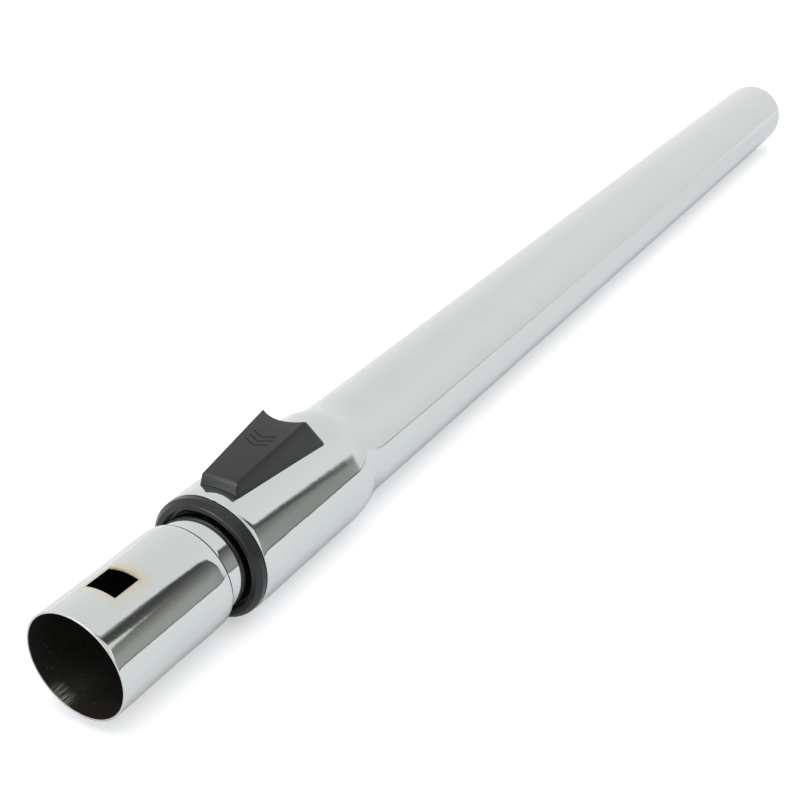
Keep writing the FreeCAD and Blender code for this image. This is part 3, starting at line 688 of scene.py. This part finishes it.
def grained_material(name, colour_value, shade, grain, roughness, uneven, depth, metallic=0.0):
    """A finish whose grain changes its colour, by the factor shade, its gloss and its skin.

    grain holds what noise takes: the scale, then the detail, the roughness and the stretch.
    """
    material, shader = new_shader(name)
    lines = shader.noise(*grain)
    shader.surface({
        "Base Color": shader.mix(lines, colour_value, [c * shade for c in colour_value]),
        "Metallic": metallic,
        "Roughness": roughness + lines * uneven if uneven else roughness,
        "Normal": shader.bump(lines, depth),
    })
    return material


def felt_material():
    felt = bpy.context.scene.wand_finishes.felt
    grain = (1800.0, 5.0, 0.75, (0.5, 1.0, 1.0))
    return grained_material("pressed felt", felt, 2.2, grain, roughness=0.95, uneven=0.0,
                            depth=0.04 * MM)


def rubber_material():
    rubber = bpy.context.scene.wand_finishes.rubber
    return grained_material("seal rubber", rubber, 1.8, (900.0, 3.0), roughness=0.5,
                            uneven=0.15, depth=0.02 * MM)


def steel_material(name, colour_value, stretch):
    """Ground or drawn steel with fine lines round or along it."""
    grain = (300.0, 3.0, 0.55, stretch)
    return grained_material(name, colour_value, 0.8, grain, roughness=0.20, uneven=0.18,
                            depth=0.01 * MM, metallic=1.0)


# Pieces


def shoulder_points(sizes, wall):
    """The S-shaped shoulder of the bell, moved inwards by wall."""
    drop = sizes.bell_radius - sizes.radius
    bend = (sizes.shoulder ** 2 + drop ** 2) / (4 * drop)
    turn = math.atan2(sizes.shoulder / 2, bend - drop / 2)
    crown = arc_points((sizes.bell_rear, sizes.bell_radius - bend), bend - wall, QUARTER_TURN,
                       QUARTER_TURN - turn)
    hollow = arc_points((sizes.bell_rear + sizes.shoulder, sizes.radius + bend), bend + wall,
                        -QUARTER_TURN - turn, -QUARTER_TURN)
    return crown + hollow[1:]


def outer_skin(sizes, wall):
    """The outer tube's skin from the bell to the tool end, moved inwards by wall."""
    bell = sizes.bell_radius - wall
    tube = sizes.radius - wall
    lip = sizes.end - sizes.lip_length
    shares = [i / LIP_STEPS for i in range(LIP_STEPS + 1)]
    front = [(sizes.bell_front + sizes.roll_length * t, bell - sizes.roll_drop * (1 - t) ** 2)
             for t in shares]
    front += [(sizes.bell_front + sizes.roll_length + FLAT_RUN, bell),
              (sizes.bell_rear - FLAT_RUN, bell)]
    straight = [(sizes.bell_rear + sizes.shoulder + FLAT_RUN, tube), (lip - FLAT_RUN, tube)]
    rolled = [(lip + sizes.lip_length * t, tube - sizes.lip_drop * t ** 2) for t in shares]
    return front + shoulder_points(sizes, wall) + straight + rolled


class WAND_OT_outer_tube(Operator):
    """Make the chromed outer tube with its bell, shoulder and rolled tool end"""

    bl_idname = "wand.outer_tube"
    bl_label = "Outer tube"

    def execute(self, context):
        sizes = context.scene.wand_tube
        outside = outer_skin(sizes, 0.0)
        inside = outer_skin(sizes, sizes.wall)
        profile = softened(outside + inside[::-1])
        tube = new_piece("outer_tube_chrome", turned_mesh("outer_tube_chrome", profile))
        slot = box_mesh("slot", (sizes.slot_front, -sizes.slot_half, 0.0),
                        (sizes.slot_rear, sizes.slot_half, sizes.bell_radius + OVERCUT))
        combine(tube, slot)
        plate_outside(tube, chrome_material())
        place_in_model(tube, "outer_body", "outer_tube")
        return {"FINISHED"}


def facing_out(middle, normal):
    """How far a face looks away from the tube's axis."""
    return normal.dot(Vector((0.0, middle.y, middle.z)).normalized())


def plate_outside(piece, plate):
    """Plates the faces that look outwards and leaves the bore bare."""
    piece.data.materials.clear()
    piece.data.materials.append(plate)
    piece.data.materials.append(bare_steel_material())
    for polygon in piece.data.polygons:
        polygon.material_index = int(facing_out(polygon.center, polygon.normal) < FACES_IN)
    smooth(piece)


def rolled_shoulder(sizes, swell, inset, neck):
    """The arcs from the swollen socket down to a neck radius, moved inwards by inset."""
    ease = math.asin((sizes.roll_start - sizes.ease_start) / sizes.ease_radius)
    ease_middle = swell - sizes.ease_radius
    roll_middle = (sizes.roll_start - sizes.roll_radius * math.sin(ease),
                   ease_middle + (sizes.ease_radius - sizes.roll_radius) * math.cos(ease))
    radius = sizes.roll_radius - inset
    turn = math.acos((neck - roll_middle[1]) / radius)
    gentle = arc_points((sizes.ease_start, ease_middle), sizes.ease_radius - inset,
                        QUARTER_TURN, QUARTER_TURN - ease)
    tight = arc_points(roll_middle, radius, QUARTER_TURN - ease, QUARTER_TURN - turn,
                       steps=2 * ARC_STEPS)
    return gentle + tight[1:]


def socket_profile(sizes, wall):
    """The closed profile of the inner tube before its groove is pressed."""
    socket = sizes.bore + sizes.wall
    swell = socket + sizes.swell
    outside = [(0.0, socket), (FLAT_RUN, socket), (sizes.straight, socket),
               (sizes.swell_end, swell)]
    outside += rolled_shoulder(sizes, swell, 0.0, sizes.neck)
    hollow = {len(outside) - 1: sizes.hollow_radius}
    outside += [(outside[-1][0] + FLAT_RUN, sizes.neck), (sizes.end, sizes.neck)]
    inside = [(sizes.end, sizes.neck - wall)]
    inside += rolled_shoulder(sizes, swell, sizes.wall, sizes.neck - wall)[::-1]
    inside += [(sizes.swell_end, swell - sizes.wall), (sizes.straight, sizes.bore),
               (0.0, sizes.bore)]
    return softened(outside + inside, own_sizes=hollow)


def groove_outline(sizes, offset, roof):
    """The groove's side outline, its floor and run-out moved inwards by offset."""
    start = sizes.groove_start - offset
    floor = sizes.groove_floor - offset
    end = sizes.end + OVERCUT
    return [(start, roof), (start, sizes.neck - offset), (start + sizes.groove_run_out, floor),
            (end, floor), (end, roof)]


def notch_rods(sizes, extra):
    """The rods that swell or cut the notches, wider by extra."""
    half = sizes.notch_half + extra
    places = [sizes.notch_first + i * sizes.notch_pitch for i in range(sizes.notch_count)]
    return [rod_mesh("notch", (x, -half, sizes.notch_height), (0, 2 * half, 0),
                     sizes.notch_radius + extra, steps=48) for x in places]


def window_mesh(sizes):
    """The latch window's space, with rounded corners."""
    half_x = sizes.window_length / 2
    half_y = sizes.window_width / 2
    corner = sizes.window_corner
    outline = []
    for k, (sx, sy) in enumerate(((1, 1), (-1, 1), (-1, -1), (1, -1))):
        centre = (sizes.window_front + half_x + sx * (half_x - corner), sy * (half_y - corner))
        outline += arc_points(centre, corner, QUARTER_TURN * k, QUARTER_TURN * (k + 1),
                              steps=8)
    return prism_mesh("window", [(x, y, 0.0) for x, y in outline], (0, 0, sizes.bore * 1.2))


def by_window(point, sizes):
    """Whether a point is on the tube's top, at the latch window's edge or inside it."""
    reach = sizes.window_length + EDGE_ROUND
    return (sizes.window_front - EDGE_ROUND < point.x < sizes.window_front + reach
            and abs(point.y) < sizes.window_width / 2 + EDGE_ROUND
            and point.z > sizes.bore * 0.9)


class WAND_OT_inner_tube(Operator):
    """Make the inner tube with its hose socket, latch window and notched groove"""

    bl_idname = "wand.inner_tube"
    bl_label = "Inner tube"

    def execute(self, context):
        sizes = context.scene.wand_socket
        wall = context.scene.wand_tube.wall
        profile = socket_profile(sizes, wall)
        tube = new_piece("inner_tube_chrome", turned_mesh("inner_tube_chrome", profile))
        roof = sizes.neck + 2 * sizes.notch_radius
        lining = new_piece("lining", side_prism("lining", groove_outline(sizes, wall, roof),
                                                sizes.groove_half + wall))
        core = rod_mesh("core", (0, 0, 0), (sizes.end - 0.01 * MM, 0, 0),
                        sizes.neck - wall / 3, steps=ROUND_STEPS)
        combine(lining, core, "INTERSECT")
        combine(tube, lining.data.copy(), "UNION")
        bpy.data.objects.remove(lining)
        for bulge in notch_rods(sizes, wall):
            combine(tube, bulge, "UNION")
        combine(tube, side_prism("groove", groove_outline(sizes, 0.0, roof), sizes.groove_half))
        for trough in notch_rods(sizes, 0.0):
            combine(tube, trough)
        for turn in map(math.radians, LUG_ANGLES):
            outwards = Vector((0, math.sin(turn), math.cos(turn)))
            start = Vector((sizes.lug_place, 0, 0)) + outwards * (sizes.neck - wall - OVERCUT)
            through = outwards * (wall + 2 * OVERCUT)
            combine(tube, rod_mesh("lug", start, through, sizes.lug_hole, steps=48))
        combine(tube, window_mesh(sizes))
        self.ease_window(tube, sizes)
        plate_outside(tube, window_chrome_material())
        self.edge_window(tube, sizes)
        place_in_model(tube, "inner_body", "inner_tube")
        return {"FINISHED"}

    @staticmethod
    def ease_window(tube, sizes):
        """Breaks the latch window's sharp outer edge."""
        builder = bmesh.new()
        builder.from_mesh(tube.data)
        edges = []
        for edge in builder.edges:
            if len(edge.link_faces) != 2 or not by_window(edge.verts[0].co, sizes):
                continue
            sawn = min(abs(face.normal.z) for face in edge.link_faces) < SAWN_TILT
            faces = [facing_out(f.calc_center_median(), f.normal) for f in edge.link_faces]
            if sawn and max(faces) > FACES_OUT:
                edges.append(edge)
        if not edges:
            raise RuntimeError("the latch window has no edge")
        bmesh.ops.bevel(builder, geom=edges, offset=sizes.window_edge, offset_type="OFFSET",
                        segments=2, profile=0.6, affect="EDGES", clamp_overlap=True)
        builder.to_mesh(tube.data)
        builder.free()

    @staticmethod
    def edge_window(tube, sizes):
        """Leaves the sawn edges of the latch window and of the mouth bare."""
        tube.data.materials.append(cut_edge_material())
        rim = sizes.bore + sizes.wall * 0.45
        for polygon in tube.data.polygons:
            middle = polygon.center
            sawn = (abs(facing_out(middle, polygon.normal)) < SAWN_FACE
                    and by_window(middle, sizes))
            if sawn or (middle.x < EDGE_ROUND and math.hypot(middle.y, middle.z) < rim):
                polygon.material_index = 2


class WAND_OT_collar_and_seals(Operator):
    """Make the black collar ring, its felt wiper and the two seals"""

    bl_idname = "wand.collar_and_seals"
    bl_label = "Collar and seals"

    def execute(self, context):
        sizes = context.scene.wand_rings
        neck = context.scene.wand_socket.neck
        finishes = context.scene.wand_finishes
        outline = [
            (sizes.front, sizes.face_inner), (sizes.front, sizes.face_outer),
            (sizes.rim_place, sizes.rim_radius), (sizes.seat, sizes.seat_radius),
            (sizes.seat, sizes.spigot_radius), (sizes.spigot_end, sizes.spigot_radius),
            (sizes.spigot_end, sizes.pocket_radius), (sizes.pocket_place, sizes.pocket_radius),
            (sizes.pocket_place, sizes.lip_radius), (sizes.lip_place, sizes.lip_radius),
            (sizes.lip_place, sizes.face_inner),
        ]
        noses = {0: sizes.nose_inner, 1: sizes.nose_outer}
        collar = turned_mesh("collar_ring_plastic", softened(outline, COLLAR_EDGE, steps=8,
                                                              own_sizes=noses))
        black = plastic_material("gloss black collar", finishes.collar, roughness=0.24,
                                 grain=1100.0, depth=0.003 * MM)
        dressed(collar, black, "outer_body", "collar_ring")
        felt = felt_material()
        wiper = self.flat_ring("wiper_ring_felt", sizes.pocket_place, sizes.spigot_end,
                               neck + sizes.play, sizes.pocket_radius - sizes.play,
                               WIPER_EDGE)
        dressed(wiper, felt, "outer_body", "wiper_ring")
        cord = arc_points((sizes.seal_place, sizes.seal_radius), sizes.seal_cord, 0, FULL_TURN,
                          steps=24)
        cord = turned_mesh("sleeve_seal_ring_rubber", cord[:-1])
        dressed(cord, rubber_material(), "outer_body", "sleeve_seal_ring")
        tail = self.flat_ring("tail_seal_ring_felt", sizes.tail_front, sizes.tail_rear,
                              sizes.tail_inner, sizes.tail_outer, TAIL_SEAL_EDGE)
        dressed(tail, felt, "inner_body", "tail_seal_ring")
        return {"FINISHED"}

    @staticmethod
    def flat_ring(name, front, rear, inner, outer, edge):
        """A ring of oblong section with rounded edges."""
        section = [(front, inner), (front, outer), (rear, outer), (rear, inner)]
        return turned_mesh(name, softened(section, edge))


def button_block(sizes):
    """The button's outer form: leaning sides that flare to the rear, and a rising top."""
    levels = (
        ((sizes.foot_front, sizes.foot_front_half, sizes.foot_height),
         (sizes.foot_rear, sizes.foot_rear_half, sizes.foot_height)),
        ((sizes.top_front, sizes.top_front_half, sizes.top_front_height),
         (sizes.top_rear, sizes.top_rear_half, sizes.top_rear_height)),
    )
    points = []
    for front, rear in levels:
        points += [front, rear, (rear[0], -rear[1], rear[2]), (front[0], -front[1], front[2])]
    faces = [(0, 1, 2, 3), (4, 5, 6, 7)]
    faces += [(i, (i + 1) % 4, (i + 1) % 4 + 4, i + 4) for i in range(4)]
    mesh = mesh_from_faces("slide_button_plastic", points, faces)
    builder = bmesh.new()
    builder.from_mesh(mesh)
    run = (sizes.top_rear - sizes.top_front) / 2
    rise = (sizes.top_front_height - sizes.foot_height) / 2

    def span(edge):
        return edge.verts[0].co - edge.verts[1].co

    def height(edge):
        return (edge.verts[0].co.z + edge.verts[1].co.z) / 2

    ridges = [e for e in builder.edges
              if abs(span(e).x) > run and height(e) > sizes.top_front_height]
    bmesh.ops.bevel(builder, geom=ridges, offset=sizes.ridge, offset_type="OFFSET", segments=1,
                    affect="EDGES")
    middle = (sizes.top_front + sizes.top_rear) / 2
    for front, radius in ((True, sizes.front_corner), (False, sizes.rear_corner)):
        corners = [e for e in builder.edges if abs(span(e).z) > rise and abs(span(e).x) < run
                   and (e.verts[0].co.x < middle) == front]
        bmesh.ops.bevel(builder, geom=corners, offset=radius, offset_type="OFFSET", segments=6,
                        profile=0.5, affect="EDGES")
    bmesh.ops.recalc_face_normals(builder, faces=builder.faces)
    builder.to_mesh(mesh)
    builder.free()
    return new_piece(mesh.name, mesh)


def button_slope(sizes):
    return (sizes.top_rear_height - sizes.top_front_height) / (sizes.top_rear - sizes.top_front)


def front_bevel_mesh(sizes):
    """The wedge of space above the bevel along the button's front top edge."""
    high = sizes.top_front_height + OVERCUT
    low = sizes.top_front_height - sizes.bevel
    run_end = sizes.top_front + sizes.bevel_run
    outline = [(sizes.foot_front, high), (sizes.foot_front, low), (sizes.top_front, low),
               (run_end, sizes.top_front_height + button_slope(sizes) * sizes.bevel_run),
               (run_end, high)]
    return side_prism("bevel", outline, sizes.foot_rear_half)


def heel_mesh(sizes):
    """The space outside the rounded corner where the sloping rear comes down to the bell."""
    lean = math.atan2(sizes.top_rear_height - sizes.foot_height, sizes.foot_rear - sizes.top_rear)
    reach = sizes.heel / math.tan(lean / 2)
    centre = (sizes.foot_rear - reach, sizes.foot_height + sizes.heel)
    arc = arc_points(centre, sizes.heel, -QUARTER_TURN, QUARTER_TURN - lean)
    low = sizes.foot_height - OVERCUT
    out = (arc[-1][0] + OVERCUT * math.sin(lean), arc[-1][1] + OVERCUT * math.cos(lean))
    outline = [(centre[0], low), (sizes.foot_rear + reach, low), out] + arc[::-1]
    return side_prism("heel", outline, sizes.foot_rear_half + OVERCUT)


def scoop_mesh(sizes):
    """The dished hollow down the button's sloping rear."""
    down = Vector((sizes.foot_rear - sizes.top_rear, 0, sizes.foot_height - sizes.top_rear_height))
    reach = down.length
    down.normalize()
    outwards = Vector((-down.z, 0, down.x))
    stand_off = math.sqrt(sizes.scoop ** 2 - sizes.top_rear_half ** 2)
    top = Vector((sizes.top_rear, 0, sizes.top_rear_height))
    start = top + outwards * stand_off - down * reach
    return rod_mesh("scoop", start, down * reach * 3, sizes.scoop, steps=180)


def chevron_mesh(sizes, tip):
    """One V groove across the button's top, pointing to the mouth."""
    end = tip + sizes.chevron_sweep
    wide = sizes.chevron_groove
    half = sizes.chevron_half
    outline = [(tip, 0), (end, half), (end + wide, half), (tip + wide, 0),
               (end + wide, -half), (end, -half)]
    floor = sizes.top_front_height - sizes.chevron_depth
    points = [(x, y, floor + button_slope(sizes) * (x - sizes.top_front)) for x, y in outline]
    return prism_mesh("chevron", points, (0, 0, sizes.chevron_depth + OVERCUT))


class WAND_OT_slide_button(Operator):
    """Make the slide button with its thumb scoop, chevrons and snap socket"""

    bl_idname = "wand.slide_button"
    bl_label = "Slide button"

    def execute(self, context):
        sizes = context.scene.wand_button
        finishes = context.scene.wand_finishes
        button = button_block(sizes)
        combine(button, front_bevel_mesh(sizes))
        combine(button, scoop_mesh(sizes))
        combine(button, heel_mesh(sizes))
        bore = rod_mesh("bore", (0, 0, 0), (BORE_ROD, 0, 0), sizes.bell_bore, steps=360)
        combine(button, bore)
        bevelled(button, BUTTON_EDGE)
        play = sizes.snap_play
        combine(button, box_mesh("snap", (sizes.tongue_front - play, -sizes.tongue_half - play, 0),
                                 (sizes.tongue_rear + play, sizes.tongue_half + play,
                                  sizes.tongue_top + play)))
        for side in (-1, 1):
            start = (sizes.tongue_front + BEAD_INSET, side * sizes.tongue_half, sizes.bead_height)
            along = (sizes.tongue_rear - sizes.tongue_front - 2 * BEAD_INSET, 0, 0)
            combine(button, rod_mesh("bead", start, along, sizes.bead_radius + play, steps=32))
        for i in range(sizes.chevron_count):
            combine(button, chevron_mesh(sizes, sizes.chevron_first - i * sizes.chevron_pitch))
        smooth(button)
        black = plastic_material("satin black button", finishes.button, roughness=0.40,
                                 grain=2600.0, depth=0.028 * MM)
        button.data.materials.append(black)
        place_in_model(button, "button_body", "slide_button")
        return {"FINISHED"}


def coil_mesh(name, sizes):
    """A compression spring along X with a closed turn at each end."""
    curve = bpy.data.curves.new(name, "CURVE")
    curve.dimensions = "3D"
    curve.bevel_depth = sizes.wire
    curve.bevel_resolution = 5
    steps = COIL_STEPS * sizes.turns
    reach = sizes.length - 2 * sizes.wire - 2 * SPRING_GAP
    coil_radius = sizes.radius - sizes.wire
    closed_pitch = 2.1 * sizes.wire
    spline = curve.splines.new("POLY")
    spline.points.add(steps)
    for i, point in enumerate(spline.points):
        turn = sizes.turns * i / steps
        if turn <= 1:
            x = closed_pitch * turn
        elif turn >= sizes.turns - 1:
            x = reach - closed_pitch * (sizes.turns - turn)
        else:
            x = closed_pitch + (reach - 2 * closed_pitch) * (turn - 1) / (sizes.turns - 2)
        angle = FULL_TURN * turn
        point.co = (x, coil_radius * math.cos(angle), coil_radius * math.sin(angle), 1.0)
    curve.use_fill_caps = True
    holder = new_piece("coil", curve)
    view = bpy.context.evaluated_depsgraph_get()
    mesh = bpy.data.meshes.new_from_object(holder.evaluated_get(view))
    bpy.data.objects.remove(holder)
    bpy.data.curves.remove(curve)
    mesh.name = name
    return mesh


class WAND_OT_return_springs(Operator):
    """Make the two return springs in front of the carriage"""

    bl_idname = "wand.return_springs"
    bl_label = "Return springs"

    def execute(self, context):
        sizes = context.scene.wand_springs
        colour_value = context.scene.wand_finishes.wire
        wire = steel_material("drawn spring wire", colour_value, (1.0, 6.0, 6.0))
        for side, y in (("left", sizes.side), ("right", -sizes.side)):
            node = "return_spring_" + side
            mesh = coil_mesh(node + "_coil", sizes)
            place = (sizes.front + sizes.wire + SPRING_GAP, y, sizes.height)
            mesh.transform(Matrix.Translation(place))
            spring = dressed(mesh, wire, "outer_body", node)
            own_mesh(spring)
        return {"FINISHED"}


class WAND_OT_lock_parts(Operator):
    """Give the sleeve, the carriage, the roller, its pin and the tail ring their materials"""

    bl_idname = "wand.lock_parts"
    bl_label = "Lock parts"

    def execute(self, context):
        finishes = context.scene.wand_finishes
        sliding = plastic_material("sliding plastic", finishes.sleeve, roughness=0.42,
                                   grain=1500.0, depth=0.012 * MM)
        carriage = plastic_material("carriage plastic", finishes.carriage, roughness=0.38,
                                    grain=1500.0, depth=0.012 * MM)
        ground = steel_material("ground steel", finishes.ground_steel, (4.0, 0.3, 4.0))
        materials = {
            "guide_sleeve": sliding,
            "tail_guide_ring": sliding,
            "lock_carriage": carriage,
            "lock_roller": ground,
            "roller_pin": ground,
        }
        for node, material in materials.items():
            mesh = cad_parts[node].data
            mesh.materials.clear()
            mesh.materials.append(material)
        return {"FINISHED"}


# Stage


def tent_light(shader, across, height):
    """The white tent. Low on the near side it ends at the table's dark edge."""
    near_side = shader.ramp(height, [(0.0, 0.38), (0.462, 0.38), (0.468, 0.83), (0.58, 0.87),
                                     (0.75, 0.91), (0.86, 0.86), (0.92, 0.84)])
    far_side = shader.ramp(height, [(0.0, 0.93), (0.60, 0.93), (0.75, 0.89), (0.92, 0.84)])
    far = shader.rise(across, -0.15, 0.35)
    return near_side * (1 - far) + far_side * far


def opening_light(shader, along, up, height, inside):
    """The dim room beyond the opening: a lit patch, a bright streak and a darker frame."""
    room = shader.ramp(height, [(0.452, 0.13), (0.470, 0.33), (0.60, 0.31), (0.70, 0.19),
                                (0.80, 0.07)])
    patch = shader.rise(along, 0.70, -0.12) * (1 - shader.rise(up, 0.135, 0.315))
    streak = (0.557 - along) * 1.7 - abs(height - 0.746)
    room = room + patch * 0.08 + shader.rise(streak, 0.0, 0.020, True) * 0.75
    room = room * shader.ramp((along - 0.1) / 0.35, [(0.0, 0.35), (1.0, 1.0)])
    frame_line = 1 - shader.rise(abs(inside - 0.030), 0.0, 0.020, True)
    frame_line = frame_line * shader.rise(along, 0.62, 0.04)
    return room * (1 - frame_line * 0.55)


def studio_world(world):
    """White to the eye. Metal sees a white tent that is open and dim on the near left.

    along, across and up are the parts of a ray's direction, and height is its up from 0 to 1.
    inside is how far the direction lies within the opening's curved edge.
    """
    world.use_nodes = True
    shader = Shader(world.node_tree)
    along, across, up = shader.axes(shader.node("ShaderNodeTexCoord"))
    height = up * 0.5 + 0.5
    inside = 0.766 - (along + up * up * 0.408)
    dim = shader.rise(inside, 0.0, 0.016, True) * shader.rise(along, 0.731, -0.018, True)
    dim = dim * shader.rise(across, -0.25, -0.25)
    tent = tent_light(shader, across, height)
    opening = opening_light(shader, along, up, height, inside)
    behind = shader.rise(along, -0.80, -0.12)
    softbox = along * -0.88 + across * 0.36 + up * 0.31
    softbox = shader.rise(softbox, 0.94, 0.05, True)
    seen = tent * (1 - dim) + opening * dim + behind * 1.2 + softbox * 4.0
    tint = shader.mix(dim, (1.0, 1.0, 1.0), (0.995, 1.0, 0.945))
    rays = shader.node("ShaderNodeLightPath").output.node.outputs
    camera = Socket(shader, rays["Is Camera Ray"])
    mirrored = shader.maths("MAXIMUM", Socket(shader, rays["Is Glossy Ray"]),
                            Socket(shader, rays["Is Transmission Ray"]))
    plain_level = 0.42
    strength = plain_level + camera * (1 - plain_level) + mirrored * (seen - plain_level)
    colour_seen = shader.mix(mirrored, (1.0, 1.0, 1.0), tint)
    background = shader.node("ShaderNodeBackground", values={"Color": colour_seen,
                                                             "Strength": strength})
    shader.node("ShaderNodeOutputWorld", values={"Surface": background})


def floor_material(studio):
    """A pale matte floor that shows white where no shadow falls, and stays pale far away.

    away is how far a place lies outside the stretch of floor under the wand.
    """
    material, shader = new_shader("pale floor")
    rays = shader.node("ShaderNodeLightPath").output.node.outputs
    seen = Socket(shader, rays["Is Camera Ray"])
    mirrored = Socket(shader, rays["Is Glossy Ray"])
    along, across, _ = shader.axes(shader.place())
    away = shader.maths("MAXIMUM", abs(along - 0.30) - 0.35, across - 0.08)
    far = shader.rise(away, 0.0, 0.55)
    glow = seen * (0.72 + far * 0.28) + mirrored * (0.12 + far * 0.63)
    fleck = shader.noise(40.0, detail=2.0)
    shader.surface({
        "Base Color": shader.mix(fleck, studio.floor_colour,
                                 [c * 0.99 for c in studio.floor_colour]),
        "Roughness": 0.9,
        "Specular IOR Level": 0.0,
        "Emission Color": shader.mix(glow, (0.0, 0.0, 0.0), (1.0, 1.0, 1.0)),
        "Emission Strength": 0.62,
    })
    return material


class WAND_OT_studio(Operator):
    """Make the pale floor, the soft lamps and the camera"""

    bl_idname = "wand.studio"
    bl_label = "Studio"

    def execute(self, context):
        scene = context.scene
        studio = scene.wand_studio
        low, high = CAD_BOX
        middle = (low[0] + high[0]) / 2
        near, reach = studio.floor_near, studio.floor_reach
        ground = low[2] - studio.floor_gap
        corners = [(middle - reach, near, ground), (middle + reach, near, ground),
                   (middle + reach, reach, ground), (middle - reach, reach, ground)]
        floor = new_piece("floor", mesh_from_faces("floor", corners, [(0, 1, 2, 3)]))
        floor.data.materials.append(floor_material(studio))
        self.lamp(studio.key_power, *KEY_LAMP)
        self.lamp(studio.fill_power, *FILL_LAMP)
        scene.world = bpy.data.worlds.new("studio")
        studio_world(scene.world)
        scene.view_settings.view_transform = "Standard"
        self.camera(scene, studio)
        return {"FINISHED"}

    @staticmethod
    def lamp(power, name, size, place, target):
        light = bpy.data.lights.new(name, "AREA")
        light.energy = power
        light.shape = "DISK"
        light.size = size
        lamp = bpy.data.objects.new(name, light)
        lamp.location = place
        lamp.visible_glossy = False
        lamp.visible_camera = False
        bpy.context.scene.collection.objects.link(lamp)
        lamp.rotation_euler = (Vector(target) - lamp.location).to_track_quat("-Z", "Y").to_euler()

    @staticmethod
    def camera(scene, studio):
        camera = bpy.data.cameras.new("camera")
        camera.lens = studio.lens
        camera.sensor_width = 36.0
        camera.clip_start = 0.01
        holder = bpy.data.objects.new("camera", camera)
        scene.collection.objects.link(holder)
        right = Vector(CAMERA_RIGHT).normalized()
        back = -Vector(CAMERA_VIEW).normalized()
        up = back.cross(right).normalized()
        turn = Matrix((right, up, back)).transposed().to_4x4()
        holder.matrix_world = Matrix.Translation(CAMERA_PLACE) @ turn
        scene.camera = holder


PIECE_OPERATORS = (
    WAND_OT_outer_tube,
    WAND_OT_inner_tube,
    WAND_OT_collar_and_seals,
    WAND_OT_slide_button,
    WAND_OT_return_springs,
    WAND_OT_lock_parts,
    WAND_OT_studio,
)


class WAND_PT_panel(Panel):
    """Buttons that make the wand, piece by piece"""

    bl_label = "Telescopic wand"
    bl_space_type = "VIEW_3D"
    bl_region_type = "UI"
    bl_category = "Wand"

    def draw(self, context):
        for operator in PIECE_OPERATORS:
            self.layout.operator(operator.bl_idname)


def register():
    for group in PROPERTY_GROUPS.values():
        bpy.utils.register_class(group)
    for operator in PIECE_OPERATORS:
        bpy.utils.register_class(operator)
    bpy.utils.register_class(WAND_PT_panel)
    for name, group in PROPERTY_GROUPS.items():
        setattr(bpy.types.Scene, name, PointerProperty(type=group))


def unregister():
    for name in PROPERTY_GROUPS:
        delattr(bpy.types.Scene, name)
    bpy.utils.unregister_class(WAND_PT_panel)
    for operator in reversed(PIECE_OPERATORS):
        bpy.utils.unregister_class(operator)
    for group in reversed(list(PROPERTY_GROUPS.values())):
        bpy.utils.unregister_class(group)


def main():
    register()
    bpy.ops.wand.outer_tube()
    bpy.ops.wand.inner_tube()
    bpy.ops.wand.collar_and_seals()
    bpy.ops.wand.slide_button()
    bpy.ops.wand.return_springs()
    bpy.ops.wand.lock_parts()
    bpy.ops.wand.studio()


if __name__ == "__main__":
    main()
